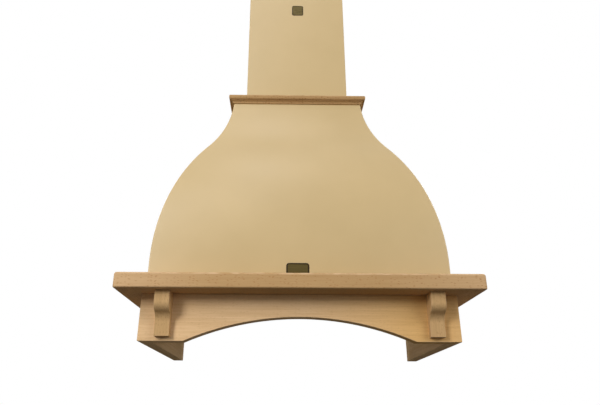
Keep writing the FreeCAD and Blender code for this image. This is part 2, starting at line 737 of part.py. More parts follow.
def chimneys():
    """The lower channel stands on the top plate. The upper one slides up inside it."""
    foot = f"({NECK} - sheet)"
    lower = new_body("lower_chimney")
    half = "chimney_width / 2"
    pad(lower, "XY", foot, f"{foot} + chimney_length", channel(half, "chimney_depth", "chimney_sheet", "0"))
    lip = block(f"-{half} + chimney_sheet", f"-{half} + chimney_sheet + chimney_lip", "-chimney_sheet", "0")
    pad(lower, "XY", foot, f"{foot} + chimney_length", lip, flipped(lip))
    tread = block(f"-{half} + chimney_sheet", f"-{half} + chimney_sheet + chimney_lip",
                  "-chimney_depth + chimney_sheet", "-chimney_sheet")
    pad(lower, "XY", foot, f"{foot} + chimney_sheet", tread, flipped(tread))
    drill(lower, "XY", foot, f"{foot} + chimney_sheet", CHIMNEY_SCREWS, "steel_screw + 2 * running_gap")
    screws("chimney_screws", "XY", f"({foot} + chimney_sheet)", True, CHIMNEY_SCREWS, "steel_screw",
           "steel_screw_length")
    upper = new_body("upper_chimney")
    inset = "(chimney_sheet + chimney_gap)"
    top = f"({foot} + chimney_length + upper_show)"
    pad(upper, "XY", f"{top} - upper_length", top,
        channel(f"(chimney_width / 2 - {inset})", f"(chimney_depth - {inset})", "chimney_sheet", f"-{inset}"))
    bracket = new_body("chimney_bracket")
    ear = f"(chimney_width / 2 - {inset} - chimney_sheet - sliding_gap)"
    low = f"({top} - bracket_below_top - bracket_height)"
    pad(bracket, "XY", low, f"{low} + bracket_height", [
        (f"-{ear}", "0"), (f"-{ear}", "-bracket_ear"), (f"-{ear} + bracket_sheet", "-bracket_ear"),
        (f"-{ear} + bracket_sheet", "-bracket_sheet"), (f"{ear} - bracket_sheet", "-bracket_sheet"),
        (f"{ear} - bracket_sheet", "-bracket_ear"), (ear, "-bracket_ear"), (ear, "0"),
    ])
    drill(bracket, "XZ", "-bracket_sheet", "0",
          [(f"{side} * bracket_spacing / 2", f"{low} + bracket_height / 2") for side in (-1, 1)],
          "bracket_hole")


def bare_plates():
    """Two bare metal plates with round corners, on the chimney and on the bell's foot."""
    upper = new_body("chimney_plate")
    low = f"({NECK} - sheet + chimney_length - chimney_plate_drop - chimney_plate_height / 2)"
    pad(upper, "XZ", "-chimney_depth - plate_thick", "-chimney_depth",
        rounded_block("chimney_plate_width", low, f"{low} + chimney_plate_height", "chimney_plate_round",
                      "chimney_plate_shift"))
    lower = new_body("canopy_plate")
    low = f"({BASE} + canopy_plate_rise - canopy_plate_height / 2)"
    pad(lower, "XZ", f"-{FOOT_DEPTH} - plate_thick", f"-{FOOT_DEPTH}",
        rounded_block("canopy_plate_width", low, f"{low} + canopy_plate_height", "canopy_plate_round",
                      "canopy_plate_shift"))


# --- Liner and filters -------------------------------------------------------------------

FILTER_NEAR = "(filter_between / 2)"
FILTER_FAR = f"({CASING_HALF} - casing_sheet - filter_side_room)"
FILTER_FRONT = f"({CASING_DEPTH} - casing_sheet - filter_front_room)"
FILTER_LOW = f"({BASE} - filter_drop)"
LATCH_LENGTH = "(filter_bar + latch_reach - latch_travel - sliding_gap - latch_end_wall)"
FILTER_AXIS = f"({FILTER_LOW} + filter_thick - filter_pin / 2 - filter_pin_cover)"


def liner_panel():
    """The painted steel tray that closes the hood's underside, with its windows and holes."""
    body = new_body("liner_panel")
    pad(body, "XY", BASE, LINER_TOP, block(f"-{LINER_HALF}", LINER_HALF, f"-{LINER_DEPTH}", "-wall_gap"))
    pad(body, "XY", LINER_TOP, f"{BASE} + liner_rim",
        channel(LINER_HALF, LINER_DEPTH, "liner_sheet", "-wall_gap"))
    window = block(f"-{FILTER_FAR} - filter_gap", f"-{FILTER_NEAR} + filter_gap",
                   f"-{FILTER_FRONT} - filter_gap", "-filter_back + hinge_swing_room")
    cut(body, "XY", BASE, LINER_TOP, window, flipped(window))
    cut(body, "XY", BASE, LINER_TOP,
        *[("circle", f"{side} * {LAMP_PLACE}", f"-{FRONT_ROW}", "lamp_diameter / 2") for side in (-1, 1)])
    drill(body, "XY", BASE, LINER_TOP, BUTTON_PLACES, "button_diameter + 4 * button_gap")
    drill(body, "XY", BASE, LINER_TOP, LINER_SCREWS, "steel_screw + 2 * running_gap")
    screws("liner_screws", "XY", BASE, False, LINER_SCREWS, "steel_screw", "steel_screw_length")


def filters():
    """An aluminium frame with a mesh, hung at the back on two pins, with a sprung latch in front."""
    high = f"({FILTER_LOW} + filter_thick)"
    frame = new_body("filter_frame_left")
    pad(frame, "XY", FILTER_LOW, high, block(f"-{FILTER_FAR}", f"-{FILTER_NEAR}", f"-{FILTER_FRONT}",
                                             "-filter_back"))
    opening = block(f"-{FILTER_FAR} + filter_bar", f"-{FILTER_NEAR} - filter_bar",
                    f"-{FILTER_FRONT} + filter_bar", "-filter_back - filter_bar")
    cut(frame, "XY", FILTER_LOW, high, opening)
    pin = ("circle", "-filter_back - filter_pin", FILTER_AXIS, "filter_pin / 2")
    pad(frame, "YZ", f"-{FILTER_FAR} - filter_pin_length", f"-{FILTER_FAR} + filter_bar / 2", pin)
    pad(frame, "YZ", f"-{FILTER_NEAR} - filter_bar / 2", f"-{FILTER_NEAR} + filter_pin_length", pin)
    middle = f"(-({FILTER_FAR} + {FILTER_NEAR}) / 2)"
    bolt_low = f"({FILTER_LOW} + latch_floor + sliding_gap)"
    bolt_half = "latch_width / 2"
    room_half = "(latch_width / 2 + sliding_gap)"
    slot_back = f"-{FILTER_FRONT} + {LATCH_LENGTH} - latch_reach + latch_travel + sliding_gap"
    cut(frame, "XY", f"{bolt_low} - sliding_gap", f"{bolt_low} + latch_thick + sliding_gap",
        block(f"{middle} - {room_half}", f"{middle} + {room_half}", f"-{FILTER_FRONT} - filter_gap",
              slot_back))
    tab_front = f"(-{FILTER_FRONT} + latch_tab_setback)"
    tab_half = "(latch_tab_width / 2)"
    cut(frame, "XY", FILTER_LOW, f"{bolt_low} - sliding_gap",
        block(f"{middle} - {tab_half} - sliding_gap", f"{middle} + {tab_half} + sliding_gap",
              f"{tab_front} - sliding_gap", f"{tab_front} + latch_tab_thick + latch_travel + sliding_gap"))
    mirror(frame, "filter_frame_right")
    mesh = new_body("filter_mesh_left")
    mesh_low = f"({FILTER_LOW} + (filter_thick - filter_mesh_thick) / 2)"
    pad(mesh, "XY", mesh_low, f"{mesh_low} + filter_mesh_thick", opening)
    mirror(mesh, "filter_mesh_right")
    latch = new_body("filter_latch_left")
    pad(latch, "XY", bolt_low, f"{bolt_low} + latch_thick",
        block(f"{middle} - {bolt_half}", f"{middle} + {bolt_half}", f"-{FILTER_FRONT} - latch_reach",
              f"-{FILTER_FRONT} - latch_reach + {LATCH_LENGTH}"))
    pad(latch, "XY", f"{FILTER_LOW} - latch_tab_drop", bolt_low,
        block(f"{middle} - {tab_half}", f"{middle} + {tab_half}", tab_front,
              f"{tab_front} + latch_tab_thick"))
    mirror(latch, "filter_latch_right")
    hangers = new_body("filter_hangers")
    hangers.AllowCompound = True
    for edge, outward in ((FILTER_NEAR, "-"), (FILTER_FAR, "")):
        near = f"({edge} {'-' if outward else '+'} (filter_pin_length - hanger_sheet) / 2)"
        low, high_side = (f"{near} - hanger_sheet", near) if outward else (near, f"{near} + hanger_sheet")
        plate = block("-filter_back - filter_pin - hanger_width / 2",
                      "-filter_back - filter_pin + hanger_width / 2",
                      LINER_TOP, f"{FILTER_AXIS} + hanger_width / 2")
        pad(hangers, "YZ", low, high_side, plate)
        pad(hangers, "YZ", f"-({high_side})", f"-({low})", plate)
    drill(hangers, "YZ", f"-{FILTER_FAR} - filter_bar", f"{FILTER_FAR} + filter_bar",
          [("-filter_back - filter_pin", FILTER_AXIS)], "filter_pin + 2 * running_gap")


# --- Lamps and controls ------------------------------------------------------------------

LAMP_PLACE = f"({CASING_HALF} - lamp_side_inset)"
BUTTON_PLACES = [(f"{place} * button_pitch", f"-{FRONT_ROW}") for place in (-2, -1, 0, 1, 2)]
CONTROL_LOW = f"({BASE} - control_thick)"
BUTTON_LOW = f"({CONTROL_LOW} - button_show)"


def lamps():
    """Each lamp is a bezel ring under the liner, a glass disc in it and a can above."""
    place = (f"-{LAMP_PLACE}", f"-{FRONT_ROW}")
    bezel = new_body("lamp_bezel_left")
    low = f"({BASE} - lamp_bezel_thick)"
    pad(bezel, "XY", low, BASE, ("circle", *place, "lamp_bezel / 2"),
        ("circle", *place, "lamp_diameter / 2 - lamp_lip"))
    lens = new_body("lamp_lens_left")
    pad(lens, "XY", BASE, f"{BASE} + lens_thick", ("circle", *place, "lamp_diameter / 2 - sliding_gap"))
    can = new_body("lamp_can_left")
    pad(can, "XY", f"{BASE} + lens_thick", f"{BASE} + lens_thick + lamp_can_height",
        ("circle", *place, "lamp_diameter / 2 - sliding_gap"))
    mirror(bezel, "lamp_bezel_right")
    mirror(lens, "lamp_lens_right")
    mirror(can, "lamp_can_right")


def controls():
    """A strip with five push buttons, and the switch box behind it."""
    panel = new_body("control_panel")
    pad(panel, "XY", CONTROL_LOW, BASE, block("-control_width / 2", "control_width / 2",
                                              f"-{FRONT_ROW} - control_depth / 2",
                                              f"-{FRONT_ROW} + control_depth / 2"))
    hole = "button_diameter + 2 * button_gap"
    drill(panel, "XY", CONTROL_LOW, BASE, BUTTON_PLACES, hole)
    box = new_body("switch_box")
    pad(box, "XY", LINER_TOP, f"{LINER_TOP} + switch_box_height",
        block("-control_width / 2 + switch_box_inset", "control_width / 2 - switch_box_inset",
              f"-{FRONT_ROW} - control_depth / 2 + switch_box_inset",
              f"-{FRONT_ROW} + control_depth / 2 - switch_box_inset"))
    drill(box, "XY", LINER_TOP, f"{BUTTON_LOW} + button_length + button_travel + button_head_room",
          BUTTON_PLACES, hole)
    for label, (across, back) in zip(
            ("button_off", "button_speed_low", "button_speed_mid", "button_speed_high", "button_lamp"),
            BUTTON_PLACES):
        button = new_body(label)
        pad(button, "XY", BUTTON_LOW, f"{BUTTON_LOW} + button_length",
            ("circle", across, back, "button_diameter / 2"))


# --- Extractor ---------------------------------------------------------------------------

AXIS_LEVEL = f"({BASE} + blower_axis)"
BLOWER_TOP = f"({CASING_TOP} - casing_sheet)"


def casing():
    """A sheet box open below, closed at the back by the plate that hangs on the wall hooks."""
    body = new_body("extractor_casing")
    half = CASING_HALF
    front = f"-{CASING_DEPTH}"
    back = "-back_plate_sheet"
    pad(body, "XY", LINER_TOP, CASING_TOP, block(f"-{half}", half, front, back))
    cut(body, "XY", LINER_TOP, f"{CASING_TOP} - casing_sheet",
        block(f"-{half} + casing_sheet", f"{half} - casing_sheet", f"{front} + casing_sheet", back))
    wing = block(f"-{half} - casing_flange", f"-{half}", front, back)
    pad(body, "XY", LINER_TOP, f"{LINER_TOP} + casing_sheet", wing, flipped(wing))
    pad(body, "XY", LINER_TOP, f"{LINER_TOP} + casing_sheet",
        block(f"-{half}", half, f"{front} - casing_flange", front))
    drill(body, "XY", LINER_TOP, f"{LINER_TOP} + casing_sheet", LINER_SCREWS, "steel_screw + 2 * running_gap")
    cut(body, "XY", f"{CASING_TOP} - casing_sheet", CASING_TOP,
        ("circle", "0", f"-{OUTLET_BACK}", "collar_diameter / 2 - collar_wall"))
    plate = new_body("hanging_plate")
    tongue = "(hook_spacing / 2 + hook_edge)"
    top = f"{CASING_TOP} + back_plate_rise"
    pad(plate, "XZ", back, "0", [
        (f"-{half}", LINER_TOP), (half, LINER_TOP), (half, CASING_TOP), (tongue, CASING_TOP),
        (tongue, top), (f"-{tongue}", top), (f"-{tongue}", CASING_TOP), (f"-{half}", CASING_TOP),
    ])
    drill(plate, "XZ", back, "0", [(f"{side} * hook_spacing / 2", HOOK_LEVEL) for side in (-1, 1)],
          "hook_hole")


def volute(wall):
    """The volute's outline: three quarter arcs, each one step larger than the one before it.

    The wall moves the whole line inward. The outlet rises behind the axis.
    """
    radius = f"(volute_radius - {wall})"
    top = f"{BLOWER_TOP}"
    middle = f"(-{AXIS_BACK} + volute_step)"
    return [
        (f"-{BLOWER_BACK} - {wall}", top),
        (f"-{BLOWER_BACK} - {wall}", f"{AXIS_LEVEL} + volute_step", RIGHT, f"{radius} + 2 * volute_step"),
        (middle, f"{AXIS_LEVEL} - {radius} - volute_step", RIGHT, f"{radius} + volute_step"),
        (f"-{AXIS_BACK} - {radius}", AXIS_LEVEL, RIGHT, radius),
        (f"-{AXIS_BACK}", f"{AXIS_LEVEL} + {radius}"),
        (f"-{AXIS_BACK} + {wall}", f"{AXIS_LEVEL} + {radius}"),
        (f"-{AXIS_BACK} + {wall}", top),
    ]


def blower_housing():
    """The spiral housing of a fan that draws air in at both sides and blows it up the duct."""
    body = new_body("blower_housing")
    half = "blower_width / 2"
    outside = volute("0")
    pad(body, "YZ", f"-{half}", half, outside[:4] + outside[5:])
    cut(body, "YZ", f"-{half} + volute_wall", f"{half} - volute_wall", volute("volute_wall"))
    ring = [("circle", f"-{AXIS_BACK}", AXIS_LEVEL, "inlet_diameter / 2 + inlet_rim"),
            ("circle", f"-{AXIS_BACK}", AXIS_LEVEL, "inlet_diameter / 2")]
    cut(body, "YZ", f"-{half}", half, ring[1])
    pad(body, "YZ", f"-{half} - inlet_lip", f"-{half}", *ring)
    pad(body, "YZ", half, f"{half} + inlet_lip", *ring)


def at_axis(body):
    """Set a piece that is drawn around its own X axis on the blower's axis."""
    tie(body, "Placement.Base.y", f"-{AXIS_BACK}")
    tie(body, "Placement.Base.z", f"{AXIS_LEVEL} - {HOOK_LEVEL}")


def impeller():
    """A drum of forward-curved blades between two rings, on a middle disc with a hub."""
    body = new_body("impeller")
    at_axis(body)
    outer = "impeller_diameter / 2"
    bore = "impeller_diameter / 2 - impeller_ring"
    pad(body, "YZ", "-impeller_sheet / 2", "impeller_sheet / 2", ("circle", "0", "0", outer))
    blade = pad(body, "YZ", "-impeller_width / 2", "impeller_width / 2", [
        (bore, "0", LEFT, "blade_curve"),
        (f"{outer} - blade_sheet", "blade_sweep"),
        (f"{outer} - blade_sheet * 3 / 2", "blade_sweep + blade_sheet", RIGHT, "blade_curve"),
        (f"{bore} - blade_sheet / 2", "blade_sheet"),
    ])
    wheel = body.newObject("PartDesign::PolarPattern", "Blades")
    wheel.Originals = [blade]
    wheel.Axis = (next(item for item in body.Origin.OriginFeatures if item.Role == "X_Axis"), [""])
    wheel.Angle = 360
    tie(wheel, "Occurrences", "blade_count")
    body.Tip = wheel
    ring = [("circle", "0", "0", outer), ("circle", "0", "0", bore)]
    pad(body, "YZ", "-impeller_width / 2 - impeller_sheet", "-impeller_width / 2", *ring)
    pad(body, "YZ", "impeller_width / 2", "impeller_width / 2 + impeller_sheet", *ring)
    pad(body, "YZ", "-hub_length / 2", "hub_length / 2", ("circle", "0", "0", "hub_diameter / 2"))
    cut(body, "YZ", "-hub_length / 2", "hub_length / 2",
        ("circle", "0", "0", "shaft_diameter / 2 + running_gap"))


def motor():
    """The motor hangs on a three-armed bracket at the left inlet and drives the shaft."""
    face = "-(blower_width / 2 + inlet_lip)"
    plate = f"{face} - impeller_sheet"
    shaft = new_body("impeller_shaft")
    at_axis(shaft)
    shaft_end = f"{plate} - motor_length / 2"
    pad(shaft, "YZ", shaft_end, "hub_length / 2 + shaft_room", ("circle", "0", "0", "shaft_diameter / 2"))
    bracket = new_body("motor_bracket")
    at_axis(bracket)
    pad(bracket, "YZ", plate, face, ("circle", "0", "0", "inlet_diameter / 2 + motor_ring"),
        ("circle", "0", "0", "inlet_diameter / 2"))
    arm = pad(bracket, "YZ", plate, face, [
        ("0", "-motor_arm / 2"),
        ("inlet_diameter / 2 + motor_ring / 2", "-motor_arm / 2"),
        ("inlet_diameter / 2 + motor_ring / 2", "motor_arm / 2"),
        ("0", "motor_arm / 2"),
    ])
    spider = bracket.newObject("PartDesign::PolarPattern", "Arms")
    spider.Originals = [arm]
    spider.Axis = (next(item for item in bracket.Origin.OriginFeatures if item.Role == "X_Axis"), [""])
    spider.Angle = 360
    spider.Occurrences = 3
    bracket.Tip = spider
    pad(bracket, "YZ", plate, face, ("circle", "0", "0", "motor_plate / 2"))
    cut(bracket, "YZ", plate, face, ("circle", "0", "0", "shaft_diameter / 2 + shaft_room"))
    body = new_body("blower_motor")
    at_axis(body)
    pad(body, "YZ", f"{plate} - motor_length", plate, ("circle", "0", "0", "motor_diameter / 2"))
    pad(body, "YZ", f"{plate} - motor_length - motor_cap", f"{plate} - motor_length",
        ("circle", "0", "0", "hub_diameter / 2"))
    cut(body, "YZ", f"{shaft_end} - shaft_room", plate,
        ("circle", "0", "0", "shaft_diameter / 2 + running_gap"))


def outlet_collar():
    """The round spigot that the duct is pushed on, with its flange on the casing."""
    body = new_body("outlet_collar")
    outer = "collar_diameter / 2"
    inner = "collar_diameter / 2 - collar_wall"
    centre = ("circle", "0", f"-{OUTLET_BACK}")
    pad(body, "XY", CASING_TOP, f"{CASING_TOP} + collar_wall",
        centre + (f"{outer} + collar_flange",), centre + (inner,))
    pad(body, "XY", f"{CASING_TOP} + collar_wall", f"{CASING_TOP} + collar_height",
        centre + (outer,), centre + (inner,))
    ledge_top = f"({FLAP_LEVEL} - flap_sheet / 2 - sliding_gap)"
    pad(body, "XY", f"{ledge_top} - collar_ledge_height", ledge_top,
        centre + (inner,), centre + (f"{inner} - collar_ledge",))
    hinges = [(f"{side} * flap_spread / 2", FLAP_LEVEL) for side in (-1, 1)]
    drill(body, "XZ", f"-{OUTLET_BACK} - {outer}", f"-{OUTLET_BACK} + {outer}", hinges,
          "flap_pin + 2 * running_gap")


FLAP_LEVEL = f"({CASING_TOP} + flap_level)"


def flaps():
    """Two half discs that the air stream lifts, each on a tube whose pins turn in the collar."""
    body = new_body("flap_left")
    inner = "(collar_diameter / 2 - collar_wall)"
    reach = f"({inner} - flap_gap)"
    tube_half = f"({inner} - collar_ledge - sliding_gap)"
    hinge = "(flap_spread / 2)"
    across = f"-{hinge}"
    tip = f"sqrt({reach} ^ 2 - {hinge} ^ 2)"
    pad(body, "XY", f"{FLAP_LEVEL} - flap_sheet / 2", f"{FLAP_LEVEL} + flap_sheet / 2", [
        (across, f"-{OUTLET_BACK} + {tip}", LEFT, reach),
        (f"-{reach}", f"-{OUTLET_BACK}", LEFT, reach),
        (across, f"-{OUTLET_BACK} - {tip}"),
    ])
    pad(body, "XZ", f"-{OUTLET_BACK} - {tube_half}", f"-{OUTLET_BACK} + {tube_half}",
        ("circle", across, FLAP_LEVEL, "flap_tube / 2"))
    pin_half = "collar_diameter / 2"
    pad(body, "XZ", f"-{OUTLET_BACK} - {pin_half}", f"-{OUTLET_BACK} + {pin_half}",
        ("circle", across, FLAP_LEVEL, "flap_pin / 2"))
    mirror(body, "flap_right")


TERMINAL_PLACE = f"({CASING_HALF} - terminal_inset)"


def terminal_box():
    """The box on the casing where the supply cable is wired, with the cable's gland."""
    box = new_body("terminal_box")
    half = "terminal_width / 2"
    back = f"-{OUTLET_BACK} + terminal_depth / 2"
    front = f"-{OUTLET_BACK} - terminal_depth / 2"
    pad(box, "XY", CASING_TOP, f"{CASING_TOP} + terminal_height",
        block(f"-{TERMINAL_PLACE} - {half}", f"-{TERMINAL_PLACE} + {half}", front, back))
    gland = new_body("cable_gland")
    level = f"{CASING_TOP} + terminal_height / 2"
    pad(gland, "XZ", back, f"{back} + gland_length",
        ("circle", f"-{TERMINAL_PLACE}", level, "gland_diameter / 2"),
        ("circle", f"-{TERMINAL_PLACE}", level, "gland_diameter / 4"))


def check_and_write():
    """Stop on a feature that failed or cut nothing, then write each piece to its own file."""
    doc.recompute()
    os.makedirs("parts", exist_ok=True)
    for piece in pieces:
        steps = getattr(piece, "Group", [])
        before = 0.0
        for step in [item for item in steps if item.isDerivedFrom("PartDesign::Feature")]:
            if "Invalid" in step.State or "Error" in step.State:
                raise RuntimeError(f"{piece.Label}: {step.Name} failed")
            volume = step.Shape.Volume
            grows = not step.isDerivedFrom("PartDesign::Pocket")
            if (volume <= before) if grows else (volume >= before):
                raise RuntimeError(f"{piece.Label}: {step.Name} changed nothing")
            before = volume
        if piece.Shape.isNull() or not piece.Shape.isValid() or piece.Shape.Volume <= 0:
            raise RuntimeError(f"{piece.Label} has no valid solid")
        piece.Shape.exportStep(f"parts/{piece.Label}.step")


mantel_boards()
apron_boards()
corbels()
angle_brackets()
bell_sheets()
top_plate()
cornice_boards()
chimneys()
bare_plates()
liner_panel()
filters()
lamps()
controls()
casing()
blower_housing()
impeller()
motor()
outlet_collar()
flaps()
terminal_box()
check_and_write()
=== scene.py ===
import math

import bmesh
import bpy
from mathutils import Matrix, Vector


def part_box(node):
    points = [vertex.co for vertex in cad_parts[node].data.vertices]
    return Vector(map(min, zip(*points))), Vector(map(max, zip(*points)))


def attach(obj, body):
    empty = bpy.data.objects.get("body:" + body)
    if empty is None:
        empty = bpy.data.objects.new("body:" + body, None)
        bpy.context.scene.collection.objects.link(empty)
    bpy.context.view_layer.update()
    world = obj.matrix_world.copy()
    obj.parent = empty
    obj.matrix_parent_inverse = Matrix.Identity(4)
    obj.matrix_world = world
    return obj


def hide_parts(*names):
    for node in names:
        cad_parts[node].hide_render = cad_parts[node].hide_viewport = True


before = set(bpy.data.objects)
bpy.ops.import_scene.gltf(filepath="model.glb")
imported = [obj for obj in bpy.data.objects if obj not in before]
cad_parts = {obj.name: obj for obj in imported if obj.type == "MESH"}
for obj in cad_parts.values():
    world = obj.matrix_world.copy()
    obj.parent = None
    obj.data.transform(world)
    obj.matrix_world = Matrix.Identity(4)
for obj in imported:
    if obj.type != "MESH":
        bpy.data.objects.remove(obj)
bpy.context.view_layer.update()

# --- Camera --------------------------------------------------------------------------------
# A low viewpoint below the mantel, in front of the hood and a little left of its middle.
# It tilts up, so that the chimney runs out of the picture at the top.
camera = bpy.data.objects.new("camera", bpy.data.cameras.new("camera"))
bpy.context.scene.collection.objects.link(camera)
bpy.context.scene.camera = camera
camera.data.lens = 30.373
camera.data.sensor_width = 36.0
camera.data.shift_x, camera.data.shift_y = 0.018, 0.04
camera.location = (-0.04384, -1.70040, -0.59390)
tilt_up, turn, roll = 0.36100, -0.01320, 0.00260
camera.rotation_euler = (Matrix.Rotation(turn, 3, "Z") @ Matrix.Rotation(math.pi / 2 + tilt_up, 3, "X")
                         @ Matrix.Rotation(roll, 3, "Z")).to_euler()

# --- Mantel shelf ----------------------------------------------------------------------------
# Three boards of steamed beech, planed, rounded over on their outer edge and mitred at the
# front corners. The wood keeps its short darker flecks under a thin satin lacquer.


def put(tree, kind, values=(), **settings):
    """Add one shader node. A value that is another node's output is joined to the input."""
    made = tree.nodes.new("ShaderNode" + kind)
    for name, value in settings.items():
        setattr(made, name, value)
    for name, value in dict(values).items():
        if isinstance(value, bpy.types.NodeSocket):
            tree.links.new(value, made.inputs[name])
        else:
            made.inputs[name].default_value = value
    return made


def mixed(tree, share, first, second, mode="MIX"):
    """A colour between two others."""
    return put(tree, "Mix", {0: share, 6: first, 7: second}, data_type="RGBA", blend_type=mode).outputs[2]


def worked(tree, how, first, second):
    """Two numbers worked into one, kept between 0 and 1."""
    return put(tree, "Math", {0: first, 1: second}, operation=how, use_clamp=True).outputs[0]


def spread(tree, value, low, high, new_low=0.0, new_high=1.0):
    """Stretch a value's range from low..high to new_low..new_high."""
    return put(tree, "MapRange", {"Value": value, "From Min": low, "From Max": high,
                                  "To Min": new_low, "To Max": new_high}).outputs["Result"]


def noise(tree, place, repeats, detail=3.0, rough=0.5):
    """A cloudy pattern with its own number of repeats per metre along each axis."""
    scaled = put(tree, "VectorMath", {0: place, 1: repeats}, operation="MULTIPLY").outputs[0]
    return put(tree, "TexNoise", {"Vector": scaled, "Scale": 1.0, "Detail": detail,
                                  "Roughness": rough}).outputs["Fac"]


def cells(tree, place, repeats):
    """Scattered points: how near the next one is, and a random number of its own."""
    scaled = put(tree, "VectorMath", {0: place, 1: repeats}, operation="MULTIPLY").outputs[0]
    found = put(tree, "TexVoronoi", {"Vector": scaled, "Scale": 1.0}).outputs
    return found["Distance"], put(tree, "SeparateColor", {0: found["Color"]}).outputs[0]


def new_effect(name, takes):
    """An empty shader node group that gives a colour, a roughness and a height."""
    tree = bpy.data.node_groups.new(name, "ShaderNodeTree")
    for label, value in {"Place": (0.0, 0.0, 0.0), **takes}.items():
        kind = "Float" if isinstance(value, float) else "Color" if len(value) == 4 else "Vector"
        socket = tree.interface.new_socket(label, in_out="INPUT", socket_type="NodeSocket" + kind)
        socket.default_value = value
    for label, kind in (("Color", "Color"), ("Roughness", "Float"), ("Height", "Float")):
        tree.interface.new_socket(label, in_out="OUTPUT", socket_type="NodeSocket" + kind)
    return tree, tree.nodes.new("NodeGroupInput").outputs, tree.nodes.new("NodeGroupOutput").inputs


def give(tree, gives, **results):
    """Join a group's results to its outputs."""
    for label, result in results.items():
        tree.links.new(result, gives[label])


tree, given, gives = new_effect("Beech", {
    "Light": (0.68, 0.46, 0.27, 1.0), "Dark": (0.47, 0.28, 0.14, 1.0), "Fleck": (0.33, 0.16, 0.06, 1.0),
    "Heart": (1.0, 1.0, 1.0, 1.0), "Heart share": 0.0, "Flecks": 0.5})
lines = noise(tree, given["Place"], (5.0, 230.0, 230.0), detail=4.0, rough=0.65)
fibres = noise(tree, given["Place"], (40.0, 1100.0, 1100.0), detail=2.0)
broad = noise(tree, given["Place"], (1.6, 14.0, 14.0), detail=2.0)
tone = worked(tree, "ADD", spread(tree, lines, 0.3, 0.7, -0.3, 0.3),
              spread(tree, broad, 0.3, 0.7, 0.25, 0.75))
tone = worked(tree, "ADD", tone, spread(tree, fibres, 0.3, 0.7, -0.12, 0.12))
near, chance = cells(tree, given["Place"], (110.0, 420.0, 420.0))
fleck = worked(tree, "MULTIPLY", spread(tree, near, 0.36, 0.22), spread(tree, chance, 0.5, 0.6))
fleck = worked(tree, "MULTIPLY", fleck, given["Flecks"])
ground = mixed(tree, tone, given["Dark"], given["Light"])
# A multiplied tint darkens the board wherever its share is 1: painted shade laid over the wood's own colour.
ground = mixed(tree, given["Heart share"], ground, mixed(tree, 1.0, ground, given["Heart"], mode="MULTIPLY"))
give(tree, gives, Color=mixed(tree, fleck, ground, given["Fleck"]),
     Roughness=spread(tree, fibres, 0.3, 0.7, 0.58, 0.70),
     Height=spread(tree, worked(tree, "ADD", spread(tree, lines, 0.2, 0.8, 0.0, 0.5), fibres), 0.2, 1.2))

tree, given, gives = new_effect("Worn edge", {})
rub = spread(tree, noise(tree, given["Place"], (25.0, 90.0, 90.0)), 0.38, 0.62)
edge = put(tree, "Attribute", attribute_name="edge").outputs["Fac"]
give(tree, gives, Height=worked(tree, "MULTIPLY", edge, rub))


def finish(name, effect, along="X", shift=(0.0, 0.0, 0.0), worn=None, painted_shade=None, metallic=0.0, specular=0.5,
           depth=0.0001, **values):
    """A material from one effect. Its pattern runs along an axis, and edges may be worn to a colour.
    painted_shade gives a middle, and how far from it a painted shade, darkest at that middle, begins to fade
    and is gone."""
    material = bpy.data.materials.new(name)
    material.use_nodes = True
    tree = material.node_tree
    shader = tree.nodes["Principled BSDF"]
    x, y, z = put(tree, "SeparateXYZ", {0: put(tree, "TexCoord").outputs["Object"]}).outputs
    order = {"X": (x, y, z), "Y": (y, z, x), "Z": (z, x, y)}[along]
    place = put(tree, "CombineXYZ", dict(enumerate(order))).outputs[0]
    place = put(tree, "VectorMath", {0: place, 1: shift}, operation="ADD").outputs[0]
    surface = put(tree, "Group", node_tree=bpy.data.node_groups[effect])
    tree.links.new(place, surface.inputs["Place"])
    for label, value in values.items():
        surface.inputs[label].default_value = value
    # Painted shade: a share that is 1 near the given middle and fades to 0 away from it.
    if painted_shade:
        offset = put(tree, "Math", {0: order[0], 1: painted_shade[0]}, operation="SUBTRACT").outputs[0]
        away = put(tree, "Math", {0: offset}, operation="ABSOLUTE").outputs[0]
        tree.links.new(spread(tree, away, painted_shade[1], painted_shade[2]), surface.inputs["Heart share"])
    color = surface.outputs["Color"]
    if worn:
        rubbed = put(tree, "Group", node_tree=bpy.data.node_groups["Worn edge"])
        tree.links.new(place, rubbed.inputs["Place"])
        color = mixed(tree, rubbed.outputs["Height"], color, worn)
    tree.links.new(color, shader.inputs["Base Color"])
    tree.links.new(surface.outputs["Roughness"], shader.inputs["Roughness"])
    bump = put(tree, "Bump", {"Height": surface.outputs["Height"], "Strength": 1.0, "Distance": depth})
    tree.links.new(bump.outputs["Normal"], shader.inputs["Normal"])
    shader.inputs["Metallic"].default_value = metallic
    shader.inputs["Specular IOR Level"].default_value = specular
    return material


def arc(centre_a, centre_b, radius, start, end, steps):
    """Points on an arc, its angles in degrees."""
    return [(centre_a + radius * math.cos(math.radians(start + (end - start) * step / steps)),
             centre_b + radius * math.sin(math.radians(start + (end - start) * step / steps)))
            for step in range(steps + 1)]


def rounded_section(width, low, high, outer_low, outer_high, inner):
    """A board's section as (distance in from its outer face, level), with its arrises rounded."""
    return (arc(outer_low, low + outer_low, outer_low, 270, 180, 6)
            + arc(outer_high, high - outer_high, outer_high, 180, 90, 8)
            + arc(width - inner, high - inner, inner, 90, 0, 2)
            + arc(width - inner, low + inner, inner, 0, -90, 2))


